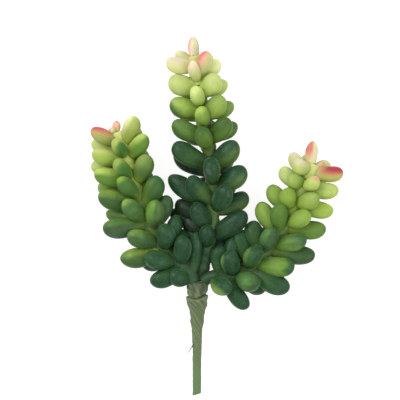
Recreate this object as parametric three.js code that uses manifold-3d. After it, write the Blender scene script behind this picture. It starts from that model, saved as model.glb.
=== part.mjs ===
// An artificial burro's tail pick, lying on its back on a flat surface.
//
// Three branches, each a coated wire, stand in a bundle that floral tape binds round a stem wire.
// Moulded whorls of plump leaves are threaded on each branch: dark green at the foot, lime above,
// and a pale crown with a pink blush at the tip.
//
// Millimetres. While it is drawn, the origin is the fork, where the branches leave the tape: X runs
// across, Y runs along the stem to the tips, and Z points away from the surface that it lies on.
// At the end everything is moved so that the origin is the middle of the footprint, on the surface.
import * as THREE from "three";
import { mergeVertices } from "three/addons/utils/BufferGeometryUtils.js";
import Module from "manifold-3d";

const wasm = await Module();
wasm.setup();

// ---- Driving dimensions ----
const WIRE_RADIUS = 1.1; // the stem wire
const STEM_END = -57.7; // where wire and tape are cut off
const WIRE_TOP = -3; // the wire ends inside the binding
const BRANCH_RADIUS = 1.2; // a branch wire with its plastic coat
const BUNDLE_RADIUS = 2.6; // from the stem wire's centre to each branch's centre, inside the binding
const BUNDLE_FOOT = -13; // how far down the branches reach into the binding
const HUB_RADIUS = 2.5; // the tube that joins the whorls of one colour along their branch
const HUB_TAIL = 1; // the least length of that tube below its lowest leaf
const LAST_HUB_TAIL = 7; // and its length below the lowest leaf of the branch
const BRANCH_TIP = 0.6; // how far a branch stands out of the tube at its tip
const CLEARANCE = 0.3; // between pieces that touch on the real one
const REST_FLAT = 0.5; // how much of the lowest leaves is pressed flat where the pick lies on them
const TINY = 1e-6;

// ---- Round bars ----
const BAR_SIDES = 8;
const BEND_STEP = 7; // between the stations along a bent bar
const STRAIGHT_STEP = 30; // and along a straight one

// ---- Leaf shape, as shares of its own size ----
const LEAF_SIDES = 8;
const LEAF_RINGS = [0.24, 0.62, 0.88]; // stations along the leaf, between its root point and its tip
const LEAF_START = 1.4; // how far from the branch's middle a leaf starts, inside its hub
const LEAF_WIDEST = 0.6;
const LEAF_ROOT_DEPTH = 0.45; // at the root, along the branch
const LEAF_ROOT_WIDTH = 0.3; // at the root, round the branch
const LEAF_TIP_POWER = 2.2; // 2 is an ellipse, more is blunter
const LEAF_WIDTH_SHARE = 0.92; // round the branch, against its thickness along it
const LEAF_SAG = 0.15; // how far the middle hangs below the line from root to tip, in half thicknesses
const FACET_SWELL = 1.04; // flat facets lie on both sides of the round surface that they stand for
const ALONG_BRANCH = 0.95; // cosine of the angle to its branch below which a leaf lies along it

// ---- The leaves that can't be seen from the front ----
const LEAF_SPACING = 66; // degrees round the branch
const HIDDEN_RISE = 30; // degrees that a hidden leaf leans towards the tip
const HIDDEN_REACH = 1.75; // its length from the branch's middle, in thicknesses
const TURN_SPREAD = 8; // degrees of unevenness
const FRONT_SIDE = 0.1; // sine of the turn from which a leaf would show at the front
const CROWDED = 11; // a hidden leaf whose middle is nearer than this to another branch is left out
const ROUTE_POINTS = 60; // where the distance to another branch is measured

// ---- Solids ----
function solidOf(geometry) {
  geometry.deleteAttribute("normal");
  geometry.deleteAttribute("uv");
  const merged = mergeVertices(geometry, 1e-4);
  const mesh = new wasm.Mesh({
    numProp: 3,
    vertProperties: new Float32Array(merged.attributes.position.array),
    triVerts: new Uint32Array(merged.index.array),
  });
  return new wasm.Manifold(mesh);
}

function joined(solids) {
  return solids.reduce((sum, next) => sum.add(next));
}

// The solid's surface, without any loose scrap that a cut left: the body with the most triangles stays.
function geometryOf(solid) {
  const mesh = solid.getMesh();
  const corners = mesh.triVerts;
  const body = Array.from({ length: mesh.vertProperties.length / 3 }, (_, vertex) => vertex);
  const bodyOf = (vertex) => {
    while (body[vertex] !== vertex) {
      body[vertex] = body[body[vertex]];
      vertex = body[vertex];
    }
    return vertex;
  };
  for (let i = 0; i < corners.length; i += 3) {
    body[bodyOf(corners[i + 1])] = bodyOf(corners[i]);
    body[bodyOf(corners[i + 2])] = bodyOf(corners[i]);
  }
  const sizes = new Map();
  for (const corner of corners) sizes.set(bodyOf(corner), (sizes.get(bodyOf(corner)) ?? 0) + 1);
  const [largest] = [...sizes.entries()].sort((a, b) => b[1] - a[1])[0];
  const geometry = new THREE.BufferGeometry();
  geometry.setAttribute("position", new THREE.BufferAttribute(new Float32Array(mesh.vertProperties), 3));
  geometry.setIndex([...corners].filter((corner) => bodyOf(corner) === largest));
  geometry.computeVertexNormals();
  return geometry;
}

// A round bar along a curve, from one station to another in millimetres.
function bar(curve, radius, from, to, step = BEND_STEP) {
  const count = Math.max(2, Math.ceil((to - from) / step));
  const length = curve.getLength();
  const stations = Array.from({ length: count + 1 }, (_, i) => (from + ((to - from) * i) / count) / length);
  const points = stations.map((share) => curve.getPointAt(Math.min(share, 1)));
  const section = new THREE.Shape().absarc(0, 0, radius, 0, 2 * Math.PI, false);
  const options = {
    steps: count,
    curveSegments: BAR_SIDES / 2,
    extrudePath: new THREE.CatmullRomCurve3(points),
  };
  return solidOf(new THREE.ExtrudeGeometry(section, options));
}

// ---- Branches ----
// Each route is chosen by eye: up through the binding, out at the fork, then up the middle of its leaves.
const inBundle = (turn, y) => [
  BUNDLE_RADIUS * Math.cos(THREE.MathUtils.degToRad(turn)),
  y,
  BUNDLE_RADIUS * Math.sin(THREE.MathUtils.degToRad(turn)),
];
const BRANCH_ROUTES = {
  left: [
    inBundle(150, BUNDLE_FOOT), inBundle(150, -7), inBundle(150, -2.6),
    [-3.4, 0.4, 1.3], [-5.8, 4, 1.2], [-11, 9, 1],
    [-15.5, 13.5, 0.6], [-20, 19, 0.3], [-24.5, 27.5, 0], [-27.5, 35.5, 0], [-30.8, 44.5, 0],
    [-34, 54.5, 0], [-36.8, 63, 0], [-39.5, 69.5, 0], [-41, 74, 0],
  ],
  centre: [
    inBundle(270, BUNDLE_FOOT), inBundle(270, -7), inBundle(270, -2.6),
    [0.5, 0.4, -2.5], [2, 5.5, -2], [4, 13.5, -1.2],
    [6.5, 24.5, -0.5], [7.5, 37, 0], [7.2, 50.5, 0], [5.5, 64.5, 0], [2.5, 79.5, 0],
    [0.8, 93.5, 0], [-1.2, 106.5, 0], [-2.2, 112, 0],
  ],
  right: [
    inBundle(30, BUNDLE_FOOT), inBundle(30, -7), inBundle(30, -2.6),
    [3.5, -0.6, 1.3], [6, 0.8, 1.2], [11, 0.6, 1],
    [18.5, 2, 0.6], [26, 6.5, 0.3], [32, 12.5, 0], [37, 18, 0], [41.5, 24, 0],
    [45.5, 31, 0], [49, 38.5, 0], [52.5, 46, 0], [55.5, 52, 0], [58, 58, 0],
  ],
};
const curves = Object.fromEntries(
  Object.entries(BRANCH_ROUTES).map(([side, route]) => [
    side,
    new THREE.CatmullRomCurve3(route.map((point) => new THREE.Vector3(...point))),
  ])
);

// ---- Leaves ----
// Whorl by whorl from the tip. thick: the leaves' thickness. leaves: [x, y, z, foot] for each leaf that
// can be seen or that the pick lies on, with its tip's place (z from the branch's middle) and how far
// below the branch's tip it starts. A fifth number is a thickness of its own. The gaps between them
// round the back are filled with hidden leaves, unless the whorl is open.
const WHORLS = {
  left: {
    crown_blush: [
      { thick: 4.8, open: true, leaves: [[-40.9, 79.2, 1, 2, 4.6], [-44.2, 75.5, 2, 3, 4.5]] },
      { thick: 8.4, open: true, leaves: [
        [-53.4, 74.6, 4, 6.8, 7.9], [-31.3, 81.3, 4, 8.5], [-29.8, 75.6, -5, 12.5, 7.6],
      ] },
      { thick: 8.6, leaves: [
        [-41.3, 69, 12, 13.5, 7.5], [-53, 62.9, 5, 16, 8.7], [-25.7, 71.6, 6, 14.5, 8.8],
        [-53.4, 68.3, -5, 12.5, 7.6], [-26.2, 64.2, -6, 20, 7.6],
      ] },
    ],
    whorls_lime: [
      { thick: 9, leaves: [
        [-40.8, 58.6, 12, 24.8, 8], [-51.8, 52.8, 5, 26, 9.3], [-24.9, 61.8, 7, 28, 9.6],
        [-53.5, 56.8, -6, 22, 8], [-24.8, 54.2, -6, 31.5, 8],
      ] },
      { thick: 9.4, leaves: [
        [-39.4, 50.1, 12, 35, 8.4], [-49.8, 41.9, 5, 39.5, 9.8], [-19.8, 51, 8, 41, 9.8],
        [-50.2, 46, -6, 32, 8.2], [-19.6, 43.5, -6, 43.5, 8.6],
      ] },
    ],
    whorls_green: [
      { thick: 9.6, leaves: [
        [-37, 38.5, 12, 46.5, 9.4], [-47.5, 25, 4, 49, 10.2], [-20.7, 38.9, 11, 52, 9.4],
        [-14.6, 41.6, 3, 53, 8.2], [-46.2, 33, -6, 47.5, 8.4],
      ] },
      { thick: 9.6, leaves: [
        [-35, 22, 9, 59.5, 9.4], [-15.8, 26, 13, 63, 9.9], [-38.9, 9.9, 2, 65.5, 10],
        [-10, 32, 1, 64, 8], [-27, 30, -16.1, 55, 9.8],
      ] },
      { thick: 9.6, leaves: [
        [-26, 10.5, 9, 72, 9.8], [-7.5, 21, 11, 75, 9], [-28.2, 7.6, -6, 70, 9],
      ] },
      { thick: 9.4, open: true, leaves: [
        [-23.8, -1.8, 3, 77.5, 9.6], [-14.3, 2.2, 7, 84, 9.2], [-13.3, -0.9, -3, 80, 6],
        [-0.8, 23.5, 4, 84.5, 6.2], [-4.5, 15.5, -1, 82, 7.6],
      ] },
    ],
  },
  centre: {
    crown_blush: [
      { thick: 6.4, open: true, leaves: [[-2.5, 121.5, -3.5, 6]] },
      { thick: 8.4, leaves: [
        [-15.7, 108.3, 5, 6.5, 8.2], [-11.2, 113.9, -5, 6, 6.6], [-3, 108.6, 10, 14, 6.9],
        [5, 112.9, 8, 11, 8.2], [11.5, 108, -2, 8.5, 7.8],
      ] },
    ],
    whorls_lime: [
      { thick: 9.4, leaves: [
        [-14.6, 99.1, 4, 17, 10.4], [-1.4, 94.8, 13, 25, 7.8], [10, 101.2, 9, 20.3, 10.2],
        [14.8, 98.2, -4, 19, 7.8],
      ] },
      { thick: 9.8, leaves: [
        [-14, 87.9, 4, 28.5, 10.4], [1.4, 84.7, 13, 35.3, 8.2], [12.8, 90.3, 9, 31.8, 10.1],
        [17.9, 87.2, -4, 30.5, 8.2], [1, 87, -16.3, 30.5, 10],
      ] },
      { thick: 9.8, leaves: [
        [-12.8, 78, 4, 42.5, 9.6], [1.3, 74.2, 13, 46.5, 9.2], [15.8, 79.3, 9, 43.3, 9.8],
        [19.7, 77.3, -4, 42.5, 8],
      ] },
    ],
    whorls_green: [
      { thick: 9.8, leaves: [
        [-12.6, 66.9, 5, 56.5, 10], [-12, 62.8, -5, 60, 9.6], [6.4, 59, 14, 64.3, 9.8],
        [19.6, 68.1, 6, 56, 10.6],
      ] },
      { thick: 9.8, leaves: [
        [-14.7, 51.2, 0, 75, 10.2], [-4.6, 50.4, 10, 74.5, 9.8], [24, 55, 4, 67.5, 10.6],
      ] },
      { thick: 9.8, leaves: [
        [15, 46, 12, 78, 10], [25.2, 41.8, -2, 79, 9.6], [-1.9, 37.2, 10, 87, 9.4],
        [-11.2, 38.4, -3, 84, 9.2], [-13.5, 33.5, -7, 88, 9],
      ] },
      { thick: 9.8, leaves: [
        [24.3, 33, 5, 92, 10.2], [4.5, 26.5, 10, 97, 8.6], [-8, 31, -4, 91, 8.6],
        [-5, 25.5, -4, 99, 8.4],
      ] },
      { thick: 8, open: true, leaves: [[6, 14.5, 3, 107.5, 6], [15, 20, -4, 103]] },
    ],
  },
  right: {
    crown_blush: [
      { thick: 5.8, open: true, leaves: [[57.7, 69, -3.5, 4, 6.2], [63.5, 57.8, -2, 3, 2.8]] },
      { thick: 8.2, leaves: [
        [46.4, 63, -3, 7, 6.9], [47.9, 57.4, 7, 3.5, 8], [72.6, 52.8, 3, 5.2, 8],
      ] },
    ],
    whorls_lime: [
      { thick: 8.4, leaves: [
        [41.4, 55.5, -3, 14, 7.8], [45.2, 50.2, 8, 11, 7.9], [59.4, 49.2, 11, 13, 7.4],
        [70.2, 44, 3, 13.5, 8.4],
      ] },
      { thick: 8.8, leaves: [
        [35.4, 46.4, -2, 26.5, 8.8], [43.6, 44.3, 9, 24.5, 8.9], [59.9, 40.7, 11, 22.5],
        [67.5, 33.5, 3, 22, 8.9],
      ] },
      { thick: 9.2, leaves: [
        [30.4, 38.2, -2, 39, 9.4], [40.6, 37.2, 10, 38.5, 9], [55.7, 32.7, 10, 33.5, 9],
        [64, 24.8, 1, 35.5, 9.5],
      ] },
    ],
    whorls_green: [
      { thick: 9.6, leaves: [
        [26.2, 28.9, 0, 51.5, 9.8], [37.6, 25.2, 11, 51, 9.6], [54, 19.8, 8, 46, 9.2],
        [58.5, 11.5, 1, 49.5, 9.6],
      ] },
      { thick: 9.8, leaves: [
        [19.5, 25, -1, 60, 8.4], [30.2, 15.8, 12, 62.5, 9.7], [48, 6, 7, 58.5, 9.8],
        [45.5, -5.5, 2, 62.5, 10.4], [38, 20, -15.8, 54],
      ] },
      { thick: 9.8, leaves: [
        [15.5, 13, 11, 70, 9.6], [29.5, -3, 11, 69, 10], [24.6, -14.8, 3, 75, 9],
        [33.6, -5.8, -6, 67.5, 9.2],
      ] },
      { thick: 9.4, open: true, leaves: [
        [10.4, 16.8, 2, 77, 8.4], [14.8, -5.8, 11, 80, 10], [18, 21.5, -1, 72, 8.6],
      ] },
    ],
  },
};

// Even numbers from 0 to 1 in a fixed order, so that the hidden leaves are always the same.
const RANDOM_SEED = 20240611;
const RANDOM_FACTOR = 16807;
const RANDOM_MODULUS = 2147483647;
function seeded(seed) {
  let state = seed;
  return () => {
    state = (state * RANDOM_FACTOR) % RANDOM_MODULUS;
    return state / RANDOM_MODULUS;
  };
}

// The branch's own axes at a station: along it, out of its front and across it.
function axesAt(curve, station) {
  const share = THREE.MathUtils.clamp(station / curve.getLength(), 0, 1);
  const along = curve.getTangentAt(share);
  const front = new THREE.Vector3(0, 0, 1).addScaledVector(along, -along.z).normalize();
  const across = new THREE.Vector3().crossVectors(along, front);
  return { middle: curve.getPointAt(share), along, front, across };
}

function leafAt(side, foot, tipOf, thick) {
  const axes = axesAt(curves[side], curves[side].getLength() - foot);
  const tip = tipOf(axes);
  const out = tip.clone().sub(axes.middle);
  const turn = THREE.MathUtils.radToDeg(Math.atan2(out.dot(axes.front), out.dot(axes.across)));
  return { root: axes.middle, tip, along: axes.along, thick, turn, foot };
}

function listedLeaf(side, thick, [x, y, z, foot, own]) {
  return leafAt(side, foot, ({ middle }) => new THREE.Vector3(x, y, middle.z + z), own ?? thick);
}

function hiddenLeaf(side, thick, foot, turn) {
  const angle = THREE.MathUtils.degToRad(turn);
  const rise = THREE.MathUtils.degToRad(HIDDEN_RISE);
  const reach = HIDDEN_REACH * thick;
  const tipOf = ({ middle, along, front, across }) =>
    middle
      .clone()
      .addScaledVector(across, reach * Math.cos(rise) * Math.cos(angle))
      .addScaledVector(front, reach * Math.cos(rise) * Math.sin(angle))
      .addScaledVector(along, reach * Math.sin(rise));
  return leafAt(side, foot, tipOf, thick);
}

function crowded(leaf, side) {
  const middle = leaf.root.clone().lerp(leaf.tip, LEAF_WIDEST);
  const isNear = (curve) =>
    curve.getPoints(ROUTE_POINTS).some((point) => point.distanceTo(middle) < CROWDED);
  return Object.entries(curves).some(([other, curve]) => other !== side && isNear(curve));
}

// Every leaf of a whorl: the listed ones, then hidden ones spread evenly over each gap between them.
function leavesOf(side, whorl, random) {
  const leaves = whorl.leaves.map((row) => listedLeaf(side, whorl.thick, row));
  if (whorl.open) return leaves;
  const foot = leaves.reduce((sum, leaf) => sum + leaf.foot, 0) / leaves.length;
  const turns = leaves.map((leaf) => leaf.turn).sort((a, b) => a - b);
  const hidden = [];
  turns.forEach((turn, i) => {
    const gap = (i + 1 < turns.length ? turns[i + 1] : turns[0] + 360) - turn;
    const count = Math.round(gap / LEAF_SPACING) - 1;
    for (let k = 1; k <= count; k++) {
      const place = turn + (gap * k) / (count + 1) + TURN_SPREAD * (2 * random() - 1);
      if (Math.sin(THREE.MathUtils.degToRad(place)) > FRONT_SIDE) continue; // the front is as listed
      const leaf = hiddenLeaf(side, whorl.thick, foot, place);
      if (!crowded(leaf, side)) hidden.push(leaf);
    }
  });
  return [...leaves, ...hidden];
}

// Half the leaf's girth along its length, as a share of the widest.
function leafGirth(share, atRoot) {
  if (share < LEAF_WIDEST) return atRoot + (1 - atRoot) * Math.sin(((Math.PI / 2) * share) / LEAF_WIDEST);
  const toTip = (share - LEAF_WIDEST) / (1 - LEAF_WIDEST);
  return (1 - toTip ** LEAF_TIP_POWER) ** (1 / LEAF_TIP_POWER);
}

// A plump leaf: a turned outline, narrowed at its root, sagged, stretched and laid from root to tip.
function leafSolid(leaf, grow = 0) {
  const outline = [new THREE.Vector2(0, 0)];
  for (const share of LEAF_RINGS) outline.push(new THREE.Vector2(leafGirth(share, LEAF_ROOT_DEPTH), share));
  outline.push(new THREE.Vector2(0, 1));
  const geometry = new THREE.LatheGeometry(outline, LEAF_SIDES);
  const place = geometry.attributes.position;
  for (let i = 0; i < place.count; i++) {
    const share = place.getY(i);
    const narrowing = leafGirth(share, LEAF_ROOT_WIDTH) / (leafGirth(share, LEAF_ROOT_DEPTH) || 1);
    const sag = LEAF_SAG * (1 - (2 * share - 1) ** 2);
    place.setX(i, place.getX(i) * narrowing);
    place.setZ(i, place.getZ(i) - sag);
  }
  const axis = leaf.tip.clone().sub(leaf.root).normalize();
  const start = leaf.root.clone().addScaledVector(axis, LEAF_START);
  const liesAlong = Math.abs(axis.dot(leaf.along)) > ALONG_BRANCH;
  const up = liesAlong ? new THREE.Vector3(0, 0, 1) : leaf.along.clone();
  up.addScaledVector(axis, -up.dot(axis)).normalize();
  const across = new THREE.Vector3().crossVectors(axis, up);
  const half = (FACET_SWELL * leaf.thick) / 2;
  const matrix = new THREE.Matrix4()
    .makeBasis(
      across.multiplyScalar(half * LEAF_WIDTH_SHARE + grow),
      axis.clone().multiplyScalar(start.distanceTo(leaf.tip) + grow),
      up.multiplyScalar(half + grow)
    )
    .setPosition(start);
  return solidOf(geometry.applyMatrix4(matrix));
}

// ---- Tape ----
// Radius of the wound tape along the stem: a full collar round the bundle with a fold below its top,
// then a taper to the bare stem. [y, radius]
const TAPE_OUTLINE = [
  [-1.6, 4.9], [-2.2, 5.2], [-4, 5.1], [-6.4, 5.2], [-8, 5.7], [-9.4, 5.5], [-11.5, 5.2], [-13.4, 4.6],
  [-15.5, 3.9], [-19, 3.5], [-24.5, 2.8], [-28.5, 2.45], [-33, 2.2], [-45, 2.15], [STEM_END, 2.1],
];
const TAPE_SIDES = 10;
const TAPE_RING_STEP = 3;
const TAPE_PITCH = 7.5; // the tape climbs this much each turn
const TAPE_EDGE = 0.25; // how far each turn stands over the one below
const TAPE_CUT_SLOPE = 0.3; // the stem is cut off aslant
const BORE_OVERRUN = 3; // how far the wire's hole is cut past the end of the tape
const STEM_TOP_X = -0.3; // the stem leans a little to the left as it goes down
const STEM_FOOT_X = -0.6;

const stemX = (y) => STEM_TOP_X + ((STEM_FOOT_X - STEM_TOP_X) * y) / STEM_END;

function tapeRadius(y) {
  const next = TAPE_OUTLINE.findIndex(([low]) => low <= y);
  if (next <= 0) return TAPE_OUTLINE[next < 0 ? TAPE_OUTLINE.length - 1 : 0][1];
  const [y0, r0] = TAPE_OUTLINE[next - 1];
  const [y1, r1] = TAPE_OUTLINE[next];
  return r0 + ((r1 - r0) * (y - y0)) / (y1 - y0);
}

// The tape's outside: a round outline, then a raised edge that climbs round it, and the slanting cut.
function tapeOutside(grow = 0) {
  const top = TAPE_OUTLINE[0][0];
  const rings = Math.round((top - STEM_END) / TAPE_RING_STEP);
  const outline = [new THREE.Vector2(0, STEM_END - grow)];
  for (let i = 0; i <= rings; i++) {
    const y = STEM_END + ((top - STEM_END) * i) / rings;
    outline.push(new THREE.Vector2(tapeRadius(y) + grow, y));
  }
  outline.push(new THREE.Vector2(0, top + grow));
  const geometry = new THREE.LatheGeometry(outline, TAPE_SIDES);
  const place = geometry.attributes.position;
  for (let i = 0; i < place.count; i++) {
    const [x, y, z] = [place.getX(i), place.getY(i), place.getZ(i)];
    const radius = Math.hypot(x, z);
    const turns = y / TAPE_PITCH + Math.atan2(z, x) / (2 * Math.PI);
    const lap = turns - Math.floor(turns); // 0 just over an edge, 1 just under the next
    const share = radius > TINY ? 1 + (TAPE_EDGE * (lap - 0.5)) / radius : 1;
    const cut = y < STEM_END + TINY ? TAPE_CUT_SLOPE * x : 0;
    place.setXYZ(i, x * share + stemX(y), y + cut, z * share);
  }
  return solidOf(geometry);
}

// ---- Stem wire, branches and tape ----
function stemLine(from, to) {
  return new THREE.LineCurve3(new THREE.Vector3(stemX(from), from, 0), new THREE.Vector3(stemX(to), to, 0));
}
const wireLine = stemLine(STEM_END + TAPE_CUT_SLOPE, WIRE_TOP);
const stemWire = bar(wireLine, WIRE_RADIUS, 0, wireLine.getLength(), STRAIGHT_STEP);
const boreLine = stemLine(STEM_END - BORE_OVERRUN, WIRE_TOP + CLEARANCE);
const wireBore = bar(boreLine, WIRE_RADIUS + CLEARANCE, 0, boreLine.getLength(), STRAIGHT_STEP);

const branches = {};
const branchRoom = {};
for (const [side, curve] of Object.entries(curves)) {
  branches[side] = bar(curve, BRANCH_RADIUS, CLEARANCE, curve.getLength());
  branchRoom[side] = bar(curve, BRANCH_RADIUS + CLEARANCE, 0, curve.getLength());
}
let stemTape = tapeOutside().subtract(wireBore);
for (const room of Object.values(branchRoom)) stemTape = stemTape.subtract(room);

// ---- Leaves by colour, from the tip of each branch down, each clear of all that came before ----
function footsOf(whorls) {
  return whorls.flatMap((whorl) => whorl.leaves.map(([, , , foot]) => foot));
}

const random = seeded(RANDOM_SEED);
const leafPieces = [];
let taken = tapeOutside(CLEARANCE);
for (const [side, zones] of Object.entries(WHORLS)) {
  const curve = curves[side];
  const otherRooms = Object.keys(curves).filter((name) => name !== side).map((name) => branchRoom[name]);
  const zoneList = Object.entries(zones);
  let hubTop = curve.getLength() - BRANCH_TIP;
  zoneList.forEach(([zone, whorls], index) => {
    const lowest = Math.max(...footsOf(whorls));
    const nextZone = zoneList[index + 1];
    const halfway = nextZone ? (lowest + Math.min(...footsOf(nextZone[1]))) / 2 : lowest + LAST_HUB_TAIL;
    const hubFoot = curve.getLength() - Math.max(halfway, lowest + HUB_TAIL);
    const leaves = whorls.flatMap((whorl) => leavesOf(side, whorl, random));
    const hub = bar(curve, HUB_RADIUS, hubFoot, hubTop);
    const grownHub = bar(curve, HUB_RADIUS + CLEARANCE, hubFoot - CLEARANCE, hubTop);
    let solid = joined([hub, ...leaves.map((leaf) => leafSolid(leaf))]).subtract(taken);
    for (const room of [...otherRooms, branchRoom[side]]) solid = solid.subtract(room);
    leafPieces.push({ name: `${side}_${zone}`, zone, solid });
    taken = joined([taken, grownHub, ...leaves.map((leaf) => leafSolid(leaf, CLEARANCE))]);
    hubTop = hubFoot - CLEARANCE;
  });
}

// The pick lies on its lowest leaves, which are pressed a little flat there.
function boundsOf(geometries) {
  const bounds = new THREE.Box3();
  for (const geometry of geometries) {
    geometry.computeBoundingBox();
    bounds.union(geometry.boundingBox);
  }
  return bounds;
}
const lowest = boundsOf(leafPieces.map(({ solid }) => geometryOf(solid))).min.z;
const surface = lowest + REST_FLAT;
const BLOCK_SIDE = 400;
const block = new THREE.BoxGeometry(BLOCK_SIDE, BLOCK_SIDE, BLOCK_SIDE);
const under = solidOf(block.translate(0, 0, surface - BLOCK_SIDE / 2));

// ---- Materials ----
const plastic = (color, roughness) => new THREE.MeshStandardMaterial({ color, roughness, metalness: 0 });
const MATERIALS = {
  crown_blush: plastic(0xdfe3a8, 0.5),
  whorls_lime: plastic(0x93b54a, 0.5),
  whorls_green: plastic(0x2f6138, 0.5),
  branch: plastic(0x4c6a2c, 0.55),
  tape: plastic(0x71895a, 0.9),
  wire: new THREE.MeshStandardMaterial({ color: 0x8c8f8a, roughness: 0.4, metalness: 1 }),
};

// ---- Assemble, with the origin at the middle of the footprint ----
const pieces = [
  ["stem_wire", stemWire, MATERIALS.wire],
  ["stem_tape", stemTape, MATERIALS.tape],
  ...Object.entries(branches).map(([side, solid]) => [`${side}_branch`, solid, MATERIALS.branch]),
  ...leafPieces.map(({ name, zone, solid }) => [name, solid.subtract(under), MATERIALS[zone]]),
].map(([name, solid, material]) => {
  const mesh = new THREE.Mesh(geometryOf(solid), material);
  mesh.name = name;
  return mesh;
});
const middle = boundsOf(pieces.map((mesh) => mesh.geometry)).getCenter(new THREE.Vector3());

const lying = new THREE.Group();
lying.position.set(-middle.x, -middle.y, -surface);
lying.add(...pieces);
const pick = new THREE.Group();
pick.add(lying);

export default pick;
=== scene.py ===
# An artificial burro's tail pick, lying on its back on a pale surface.
#
# Three coated wire branches leave a stem that is bound in floral tape. Whorls of plump moulded leaves are
# threaded on them: dark green at the foot, lime above, and a pale crown with a pink blush at the tip.
#
# Shapes are worked out in millimetres from the fork, where the branches leave the tape: X across, Y towards
# the tips, Z up. placed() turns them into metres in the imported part's own frame.
import math

import bmesh
import bpy
import numpy as np
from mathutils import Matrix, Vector


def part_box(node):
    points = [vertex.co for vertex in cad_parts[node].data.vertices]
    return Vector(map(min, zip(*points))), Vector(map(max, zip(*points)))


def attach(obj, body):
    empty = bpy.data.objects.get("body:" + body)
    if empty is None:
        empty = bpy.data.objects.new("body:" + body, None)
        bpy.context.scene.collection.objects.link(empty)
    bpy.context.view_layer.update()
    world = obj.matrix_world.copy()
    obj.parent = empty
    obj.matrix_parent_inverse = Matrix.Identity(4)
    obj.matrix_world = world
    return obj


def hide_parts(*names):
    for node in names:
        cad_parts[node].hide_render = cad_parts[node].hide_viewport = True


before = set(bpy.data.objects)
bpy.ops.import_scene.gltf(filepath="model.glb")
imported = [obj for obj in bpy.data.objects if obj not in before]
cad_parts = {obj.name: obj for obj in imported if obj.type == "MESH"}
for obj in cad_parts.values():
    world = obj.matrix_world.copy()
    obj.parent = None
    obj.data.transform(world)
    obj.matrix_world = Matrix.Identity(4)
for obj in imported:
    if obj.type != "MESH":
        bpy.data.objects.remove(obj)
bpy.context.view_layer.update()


# ---- Stem wire ----
# A straight length of soft iron wire up the middle of the stem. It was cut off with pliers, so its end
# is a little rounded and shows bare metal in the middle of the tape.
WIRE_RADIUS = 1.1
WIRE_TOP = -3.0
WIRE_FOOT = -57.4
STEM_FOOT = -57.7
STEM_TOP_X, STEM_FOOT_X = -0.3, -0.6
WIRE_SIDES = 32
WIRE_PROFILE = [  # (y, share of the radius)
    (WIRE_FOOT + 0.05, 0.5), (WIRE_FOOT, 0.86), (WIRE_FOOT + 0.12, 0.97), (WIRE_FOOT + 0.5, 1.0),
    (-30.0, 1.0), (WIRE_TOP - 0.2, 1.0), (WIRE_TOP, 0.9),
]
SURFACE_CLEARANCE = 0.00002
MM = 1000  # in a metre


def stem_x(y):
    """The stem leans a little to the left as it goes down."""
    return STEM_TOP_X + (STEM_FOOT_X - STEM_TOP_X) * y / STEM_FOOT


wire_low, wire_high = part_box("stem_wire")
FORK = np.array([
    (wire_low.x + wire_high.x) / 2 - (stem_x(WIRE_TOP) + stem_x(WIRE_FOOT)) / 2 / MM,
    wire_high.y - WIRE_TOP / MM,
    (wire_low.z + wire_high.z) / 2,
])


def placed(points):
    """Millimetres from the fork to metres in the frame, with nothing below the surface."""
    made = np.asarray(points, float) / MM + FORK
    made[..., 2] = np.maximum(made[..., 2], SURFACE_CLEARANCE)
    return made


def unit(way):
    return way / np.linalg.norm(way)


def turns_round(sides):
    return np.linspace(0, 2 * math.pi, sides, endpoint=False)


def skin(rings, sides, first=0):
    """Quads between rings of points, with a face over each end."""
    faces = [
        (first + r * sides + s, first + r * sides + (s + 1) % sides,
         first + (r + 1) * sides + (s + 1) % sides, first + (r + 1) * sides + s)
        for r in range(rings - 1) for s in range(sides)
    ]
    last = first + (rings - 1) * sides
    return faces + [tuple(range(first, first + sides)), tuple(range(last, last + sides))]


def in_scene(name, data):
    made = bpy.data.objects.new(name, data)
    bpy.context.collection.objects.link(made)
    return made


def piece(name, verts, faces, material, slot, replaced=(), paint=None):
    """A smooth mesh that rides with the part. paint is one linear colour for each vertex."""
    mesh = bpy.data.meshes.new(name)
    mesh.from_pydata([tuple(v) for v in placed(verts)], [], faces)
    outward = bmesh.new()
    outward.from_mesh(mesh)
    bmesh.ops.recalc_face_normals(outward, faces=outward.faces)
    outward.to_mesh(mesh)
    outward.free()
    if paint is not None:
        layer = mesh.color_attributes.new("paint", "FLOAT_COLOR", "POINT")
        layer.data.foreach_set("color", np.column_stack([paint, np.ones(len(paint))]).ravel())
    mesh.polygons.foreach_set("use_smooth", [True] * len(mesh.polygons))
    mesh.materials.append(material)
    made = in_scene(name, mesh)
    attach(made, "root")
    if replaced:
        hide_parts(*replaced)


def set_inputs(node, values):
    for name, value in values.items():
        node.inputs[name].default_value = value


def new_material(name, colour, roughness, metallic=0.0):
    """A material, its shader, and its tree's nodes and links."""
    made = bpy.data.materials.new(name)
    made.use_nodes = True
    shader = made.node_tree.nodes["Principled BSDF"]
    set_inputs(shader, {"Base Color": (*colour, 1), "Roughness": roughness, "Metallic": metallic})
    return made, shader, made.node_tree.nodes, made.node_tree.links


def add_node(nodes, kind, inputs=None, **settings):
    """A shader node with its own settings and its inputs' values."""
    made = nodes.new(kind)
    for name, value in settings.items():
        setattr(made, name, value)
    set_inputs(made, inputs or {})
    return made


def add_ramp(nodes, *stops):
    """A colour ramp between two stops, each a place and a colour."""
    made = nodes.new("ShaderNodeValToRGB")
    for stop, (position, colour) in zip(made.color_ramp.elements, stops):
        stop.position = position
        stop.color = (*colour, 1)
    return made


def join(links, *joints):
    """Links, each from one node's output to another node's input."""
    for giver, output, taker, socket in joints:
        links.new(giver.outputs[output], taker.inputs[socket])


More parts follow.
